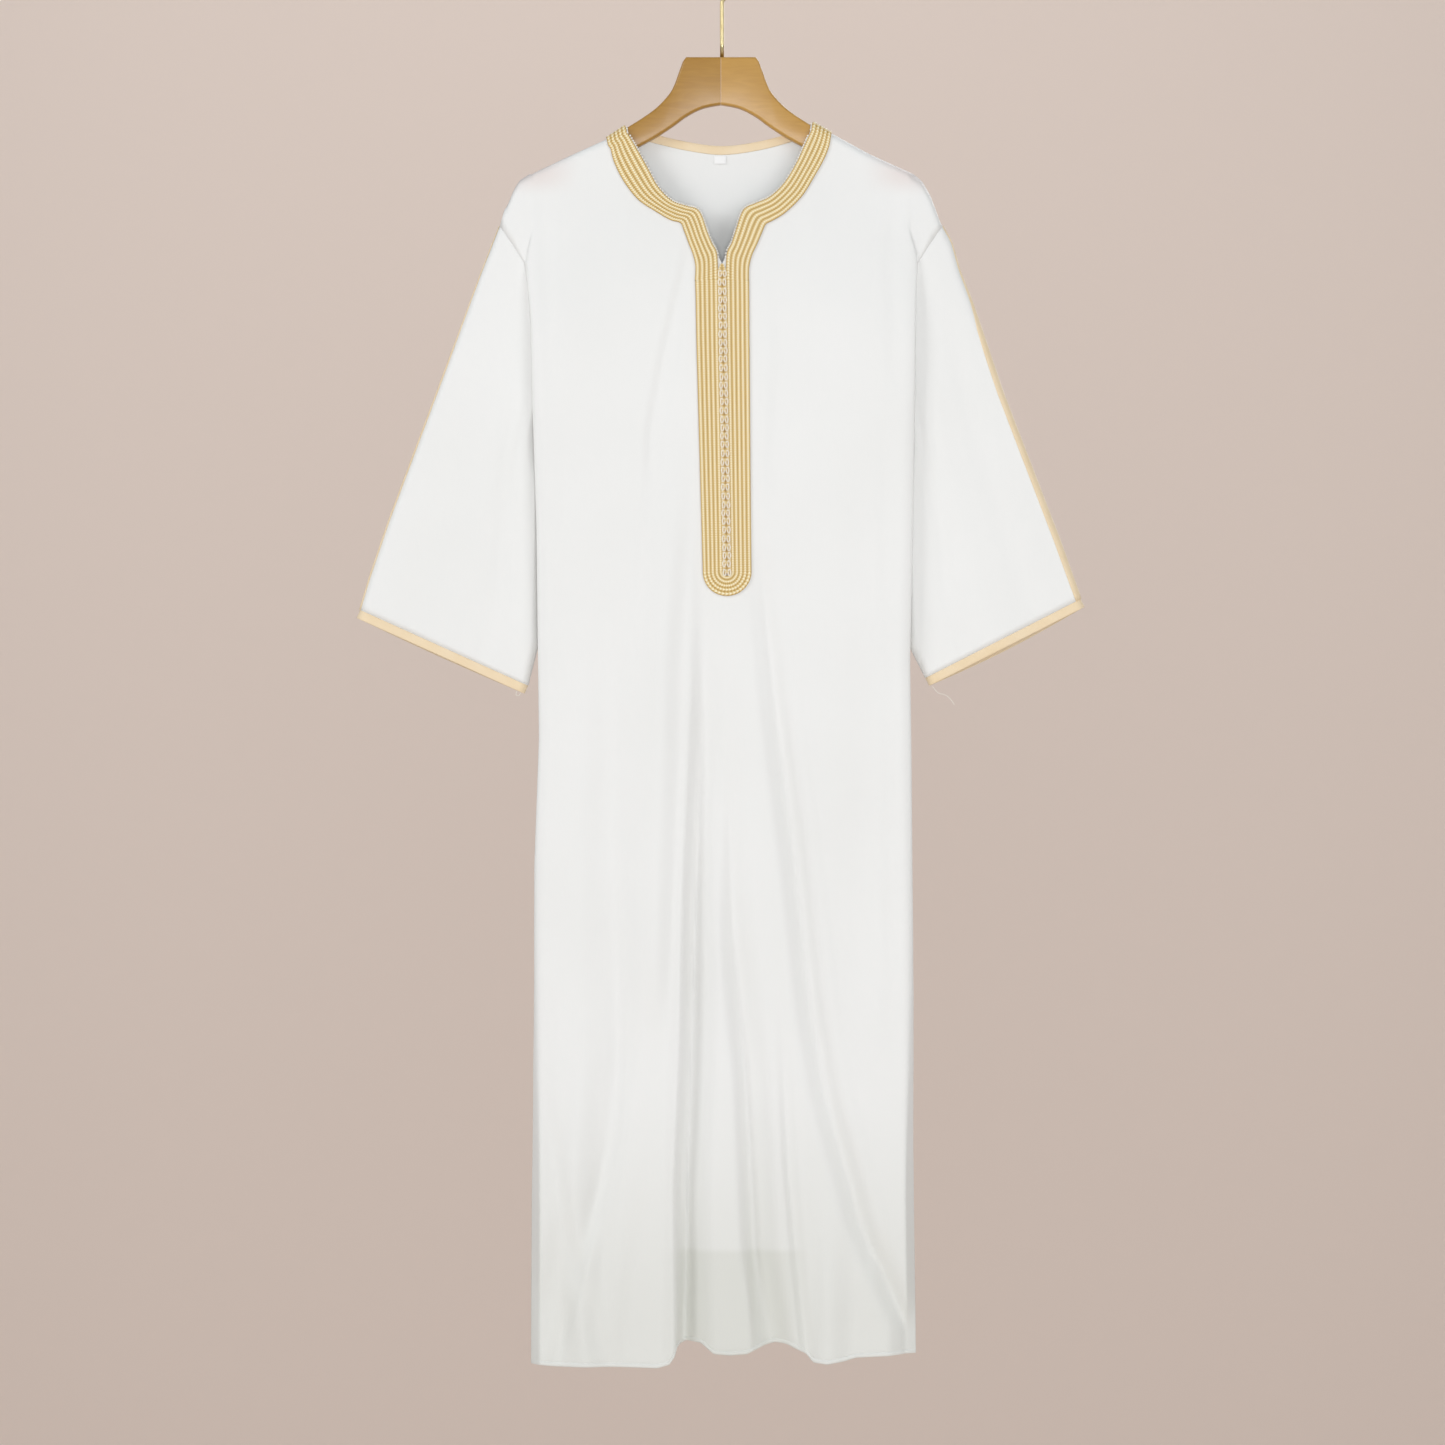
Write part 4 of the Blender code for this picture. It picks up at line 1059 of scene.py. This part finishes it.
# %% Make the knots
def grid_part(builder, points, slot, wrap_rows=False):
    """Faces between rings of points: each row is closed, and the rows too where wrap_rows is set."""
    verts = [[builder.verts.new(p) for p in row] for row in points]
    wide = len(verts[0])
    for i in range(len(verts) if wrap_rows else len(verts) - 1):
        upper, lower = verts[i], verts[(i + 1) % len(verts)]
        for k in range(wide):
            n = (k + 1) % wide
            builder.faces.new((upper[k], upper[n], lower[n], lower[k])).material_index = slot
    if not wrap_rows:
        builder.faces.new(reversed(verts[0])).material_index = slot
        builder.faces.new(verts[-1]).material_index = slot


def knot_ball(centre, size):
    """Rings of a ball whose radius swells and narrows like the turns of a cord."""
    rings = []
    for k in range(1, 10):
        down = math.pi * k / 10
        ring = []
        for n in range(14):
            spin = 2 * math.pi * n / 14
            turn = 1 + 0.10 * math.cos(3 * spin + 5 * down)
            ring.append(centre + Vector((math.sin(down) * math.cos(spin) * size[0] * turn,
                                         math.sin(down) * math.sin(spin) * size[1] * turn,
                                         math.cos(down) * size[2])) / 2)
        rings.append(ring)
    return rings


def cord_loop(centre, wide, tall, cord):
    """Rings of a cord that runs round an upright oval."""
    rings = []
    for k in range(14):
        a = 2 * math.pi * k / 14
        out = Vector((math.cos(a), 0, math.sin(a)))
        place = centre + Vector((math.cos(a) * wide / 2, 0, math.sin(a) * tall / 2))
        rings.append([place + (out * math.cos(b) + Vector((0, 1, 0)) * math.sin(b)) * cord / 2
                      for b in (2 * math.pi * n / 6 for n in range(6))])
    return rings


BUTTON_COUNT = 36
KNOT_SIZE = (4.0, 3.6, 4.6)
KNOT_LIFT = BRAID_LIFT + BRAID_BASE + 1.3
LOOP_WIDE, LOOP_TALL, LOOP_CORD = 3.0, 6.8, 1.5
for number, z in enumerate(np.linspace(-345, BRAID_END_Z, BUTTON_COUNT), 1):
    x = placket_middle(z) + 0.35 * math.sin(number * 2.1)
    builder = bmesh.new()
    grid_part(builder, knot_ball(on_front(x, z + 0.4, KNOT_LIFT), KNOT_SIZE), 0)
    for side in (-1, 1):
        place = on_front(x + side * 2.6, z - 1.2 + 0.5 * math.sin(number * 1.3), KNOT_LIFT + 0.5)
        grid_part(builder, cord_loop(place, LOOP_WIDE, LOOP_TALL, LOOP_CORD), 1, wrap_rows=True)
    bmesh.ops.recalc_face_normals(builder, faces=builder.faces)
    knot = finish_piece(f"knot_button_{number:02d}", builder, KNOT)
    knot.data.materials.append(LOOP)
    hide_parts(f"button_{number:02d}")
print("knots:", BUTTON_COUNT)

# %% [markdown]
# ## Picot edge
# White thread is whipped over the inner edge of the braid, which leaves a row of tiny loops along the
# neck. They are small beads of thread here, 2.3 mm apart, joined in one piece. A looped thread so fine
# would not show from where the robe is seen.

# %% Make the picot edge
PICOT_APART = 2.3
PICOT_RADIUS = 1.25
builder = bmesh.new()
for side in (-1, 1):
    path = [Vector((a, 0, b)) for a, b, _, _ in neck_sections(side)]
    path = [p for p in path if p.z > -331]
    gap = 0.0
    for a, b in zip(path, path[1:]):
        gap += (b - a).length
        if gap < PICOT_APART:
            continue
        gap = 0.0
        inward = Vector((-side * abs(b.z - a.z), 0, abs(b.x - a.x)))
        inward = inward.normalized() * 1.0 if inward.length else inward
        place = on_front(b.x, b.z, BRAID_LIFT + BRAID_BASE) + inward
        made = bmesh.ops.create_icosphere(builder, subdivisions=1, radius=PICOT_RADIUS)
        bmesh.ops.translate(builder, vec=place, verts=made["verts"])
picot = finish_piece("picot_edge", builder, PICOT)
print("picot loops:", len(picot.data.vertices) // 12)

# %% [markdown]
# ## Hanger and hook
# The hanger is two pieces of beech glued at the middle, cut to an arch and rounded over. Each half is
# its outline, pushed out to its thickness, with bevelled edges. The hook is a bent bar, made as a circle
# drawn along its path.

# %% Make the hanger
HANGER_TOP = table("x z", (0, -105), (38.3, -105), (42, -110), (46, -121), (51.5, -136), (57.5, -146.5),
                   (70, -160), (84, -170.5), (103, -182.5))
HANGER_UNDER = table("x z", (0, -157.6), (20, -161.5), (38, -170.5), (53, -181.5), (73.5, -194.7),
                     (96, -206.5), (130, -221), (170, -238), (200, -249))
HANGER_MID_X = -1.2
HANGER_THICK = 14.0
HANGER_ROUND = 3.0
GLUE_GAP = 0.15


def curve_points(rows, count, keep):
    """Points on a smooth curve through a table, after its first straight stretch."""
    points = [(rows.x[k], rows.z[k]) for k in range(keep)]
    for k in range(count + 1):
        t = k / count
        points.append((through(rows.x[keep:], t), through(rows.z[keep:], t)))
    return points


for side, word in SIDES:
    outline = curve_points(HANGER_TOP, 22, 2)
    for x in (125, 160, 190, 202):
        outline.append((x, cloth_top(HANGER_MID_X + side * x) - 3.0))
    outline.append((208, float(np.interp(side * 208, SHOULDER.x, SHOULDER.z)) - 7))
    outline += curve_points(HANGER_UNDER, 26, 0)[::-1]
    builder = bmesh.new()
    verts = []
    for x, z in outline:
        joint = GLUE_GAP if x < 0.01 else 0.0
        verts.append(builder.verts.new((HANGER_MID_X + side * (x + joint), -HANGER_THICK / 2, z)))
    face = builder.faces.new(verts)
    pushed = bmesh.ops.extrude_face_region(builder, geom=[face])
    moved = [g for g in pushed["geom"] if isinstance(g, bmesh.types.BMVert)]
    bmesh.ops.translate(builder, vec=(0, HANGER_THICK, 0), verts=moved)
    bmesh.ops.recalc_face_normals(builder, faces=builder.faces)
    joint_x = HANGER_MID_X + side * GLUE_GAP
    rims = [e for e in builder.edges if abs(e.verts[0].co.y - e.verts[1].co.y) < 0.01
            and not all(abs(v.co.x - joint_x) < 0.05 for v in e.verts)]
    bmesh.ops.bevel(builder, geom=rims, offset=HANGER_ROUND, segments=5, profile=0.5, affect="EDGES",
                    material=-1, clamp_overlap=True)
    half = finish_piece(f"beech_hanger_{word}", builder, WOOD[side])
    half.data.set_sharp_from_angle(angle=math.radians(40))
    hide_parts(f"hanger_{word}")

# %% Make the hook
WIRE = 4.4
CROOK = 19.0 + WIRE / 2
centre = Vector((0, 0, WIRE / 2 - CROOK))
STEM = (
    (0, -104.7), (0, -90), (0, -75), (0, -60), (0, -48), (0, -45), (0.35, -43), (1.3, -41.3), (2.8, -40.1),
    (4.8, -39.2), (7.5, -38.4),
)
route = [Vector((x, 0, z)) for x, z in STEM]
for degrees in range(-60, 211, 6):
    angle = math.radians(degrees)
    route.append(centre + Vector((math.cos(angle), 0, math.sin(angle))) * CROOK)
rings = []
for k, point in enumerate(route):
    ahead = (route[min(k + 1, len(route) - 1)] - route[max(k - 1, 0)]).normalized()
    other = ahead.cross(Vector((0, 1, 0)))
    ring = [point + (Vector((0, 1, 0)) * math.cos(a) + other * math.sin(a)) * WIRE / 2
            for a in (2 * math.pi * n / 20 for n in range(20))]
    rings.append([*ring, ring[0].copy()])
builder = sheet_builder(rings)
bmesh.ops.remove_doubles(builder, verts=builder.verts, dist=0.001)
bmesh.ops.holes_fill(builder, edges=[e for e in builder.edges if e.is_boundary], sides=0)
bmesh.ops.recalc_face_normals(builder, faces=builder.faces)
hook = finish_piece("brass_hook", builder, BRASS)
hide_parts("hook")

# %% [markdown]
# ## Loose threads
# Two thread ends were left at the cuffs' inner corners. They are about 32 and 11 mm long. A curve with a
# round bevel is the simplest way to make a thread, and smooth curves through a few points bend it.

# %% Make the thread ends
THREAD_RADIUS = 0.0003
THREAD_ENDS = {
    "right": ((232, -6, -799), (238, -7, -806), (245, -8, -808), (251, -7, -812), (256, -7, -819)),
    "left": ((-222, -6, -806), (-224, -7, -809), (-227, -8, -808), (-226, -8, -804)),
}
for word, points in THREAD_ENDS.items():
    curve = bpy.data.curves.new(f"thread_end_{word}", "CURVE")
    curve.dimensions = "3D"
    curve.bevel_depth = THREAD_RADIUS
    curve.bevel_resolution = 1
    curve.use_fill_caps = True
    spline = curve.splines.new("POLY")
    columns = list(zip(*points))
    fine = [tuple(through(column, k / 16) * MM for column in columns) for k in range(17)]
    spline.points.add(len(fine) - 1)
    for target, place in zip(spline.points, fine):
        target.co = (*place, 1.0)
    curve.materials.append(PICOT)
    end = bpy.data.objects.new(f"thread_end_{word}", curve)
    bpy.context.scene.collection.objects.link(end)
    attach(end, BODY)

# %% [markdown]
# ## An empty loop
# The loop below runs over the two sides and makes nothing.

for side, word in SIDES:
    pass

# %% [markdown]
# ## Floor, backdrop, light and camera
# The robe is seen straight on from the height of its middle. A soft light to the left is stronger than
# the one to the right, and a third behind the camera keeps the shade in the folds soft. One light stands
# behind the robe, and one lights the backdrop.


# %% Stage
def plain_material(name, colour):
    return start_material(name, Base_Color=hex_colour(colour), Roughness=0.9)[0]


def stage_plane(name, corners, material):
    builder = bmesh.new()
    builder.faces.new([builder.verts.new(c) for c in corners])
    mesh = bpy.data.meshes.new(name)
    builder.to_mesh(mesh)
    builder.free()
    mesh.materials.append(material)
    plane = bpy.data.objects.new(name, mesh)
    bpy.context.scene.collection.objects.link(plane)


LEFT, RIGHT = -14, 14
NEAR, WALL = -12, 8.5
FLOOR, TOP = -3.1, 7
floor_corners = [(LEFT, NEAR, FLOOR), (RIGHT, NEAR, FLOOR), (RIGHT, WALL, FLOOR), (LEFT, WALL, FLOOR)]
wall_corners = [(LEFT, WALL, FLOOR), (RIGHT, WALL, FLOOR), (RIGHT, WALL, TOP), (LEFT, WALL, TOP)]
stage_plane("floor", floor_corners, plain_material("pale_floor", "#e6dbd2"))
stage_plane("backdrop", wall_corners, plain_material("warm_wall", "#ecdcd2"))

world = bpy.data.worlds.new("studio_air")
bpy.context.scene.world = world
world.use_nodes = True
world.node_tree.nodes["Background"].inputs[0].default_value = (0.95, 0.98, 1.0, 1.0)
world.node_tree.nodes["Background"].inputs[1].default_value = 0.40


def soft_light(name, place, target, size, power):
    lamp = bpy.data.lights.new(name, "AREA")
    lamp.color = (0.975, 0.99, 1.0)
    lamp.shape = "SQUARE"
    lamp.size = size
    lamp.energy = power
    light = bpy.data.objects.new(name, lamp)
    light.location = place
    light.visible_camera = False
    light.rotation_euler = (Vector(target) - Vector(place)).to_track_quat("-Z", "Y").to_euler()
    bpy.context.scene.collection.objects.link(light)


soft_light("key_softbox", (-3.3, -2.3, 0.9), (0, 0, -0.8), 1.5, 48)
soft_light("fill_softbox", (2.6, -3.2, 0.2), (0, 0, -0.9), 2.2, 36)
soft_light("front_softbox", (0, -6.8, -0.9), (0, 0, -0.9), 1.6, 114)
soft_light("back_softbox", (1.5, 3.0, 0.8), (0, 0, -0.8), 2.0, 40)
soft_light("wall_softbox", (-0.3, 3.0, 3.6), (-0.1, WALL, -2.8), 3.0, 150)

# %% Camera
VIEW_MIDDLE = 0.00055
VIEW_HEIGHT = -0.8387
VIEW_WIDTH = 1.5895
FRONT_PLANE_Y = -0.018
DISTANCE = 6.0
camera_data = bpy.data.cameras.new("front_view")
camera_data.sensor_fit = "HORIZONTAL"
camera_data.sensor_width = 36.0
camera_data.lens = 36.0 * DISTANCE / VIEW_WIDTH
camera = bpy.data.objects.new("front_view", camera_data)
camera.location = (VIEW_MIDDLE, FRONT_PLANE_Y - DISTANCE, VIEW_HEIGHT)
camera.rotation_euler = (math.radians(90), 0, 0)
bpy.context.scene.collection.objects.link(camera)
bpy.context.scene.camera = camera
bpy.context.scene.view_settings.view_transform = "Standard"
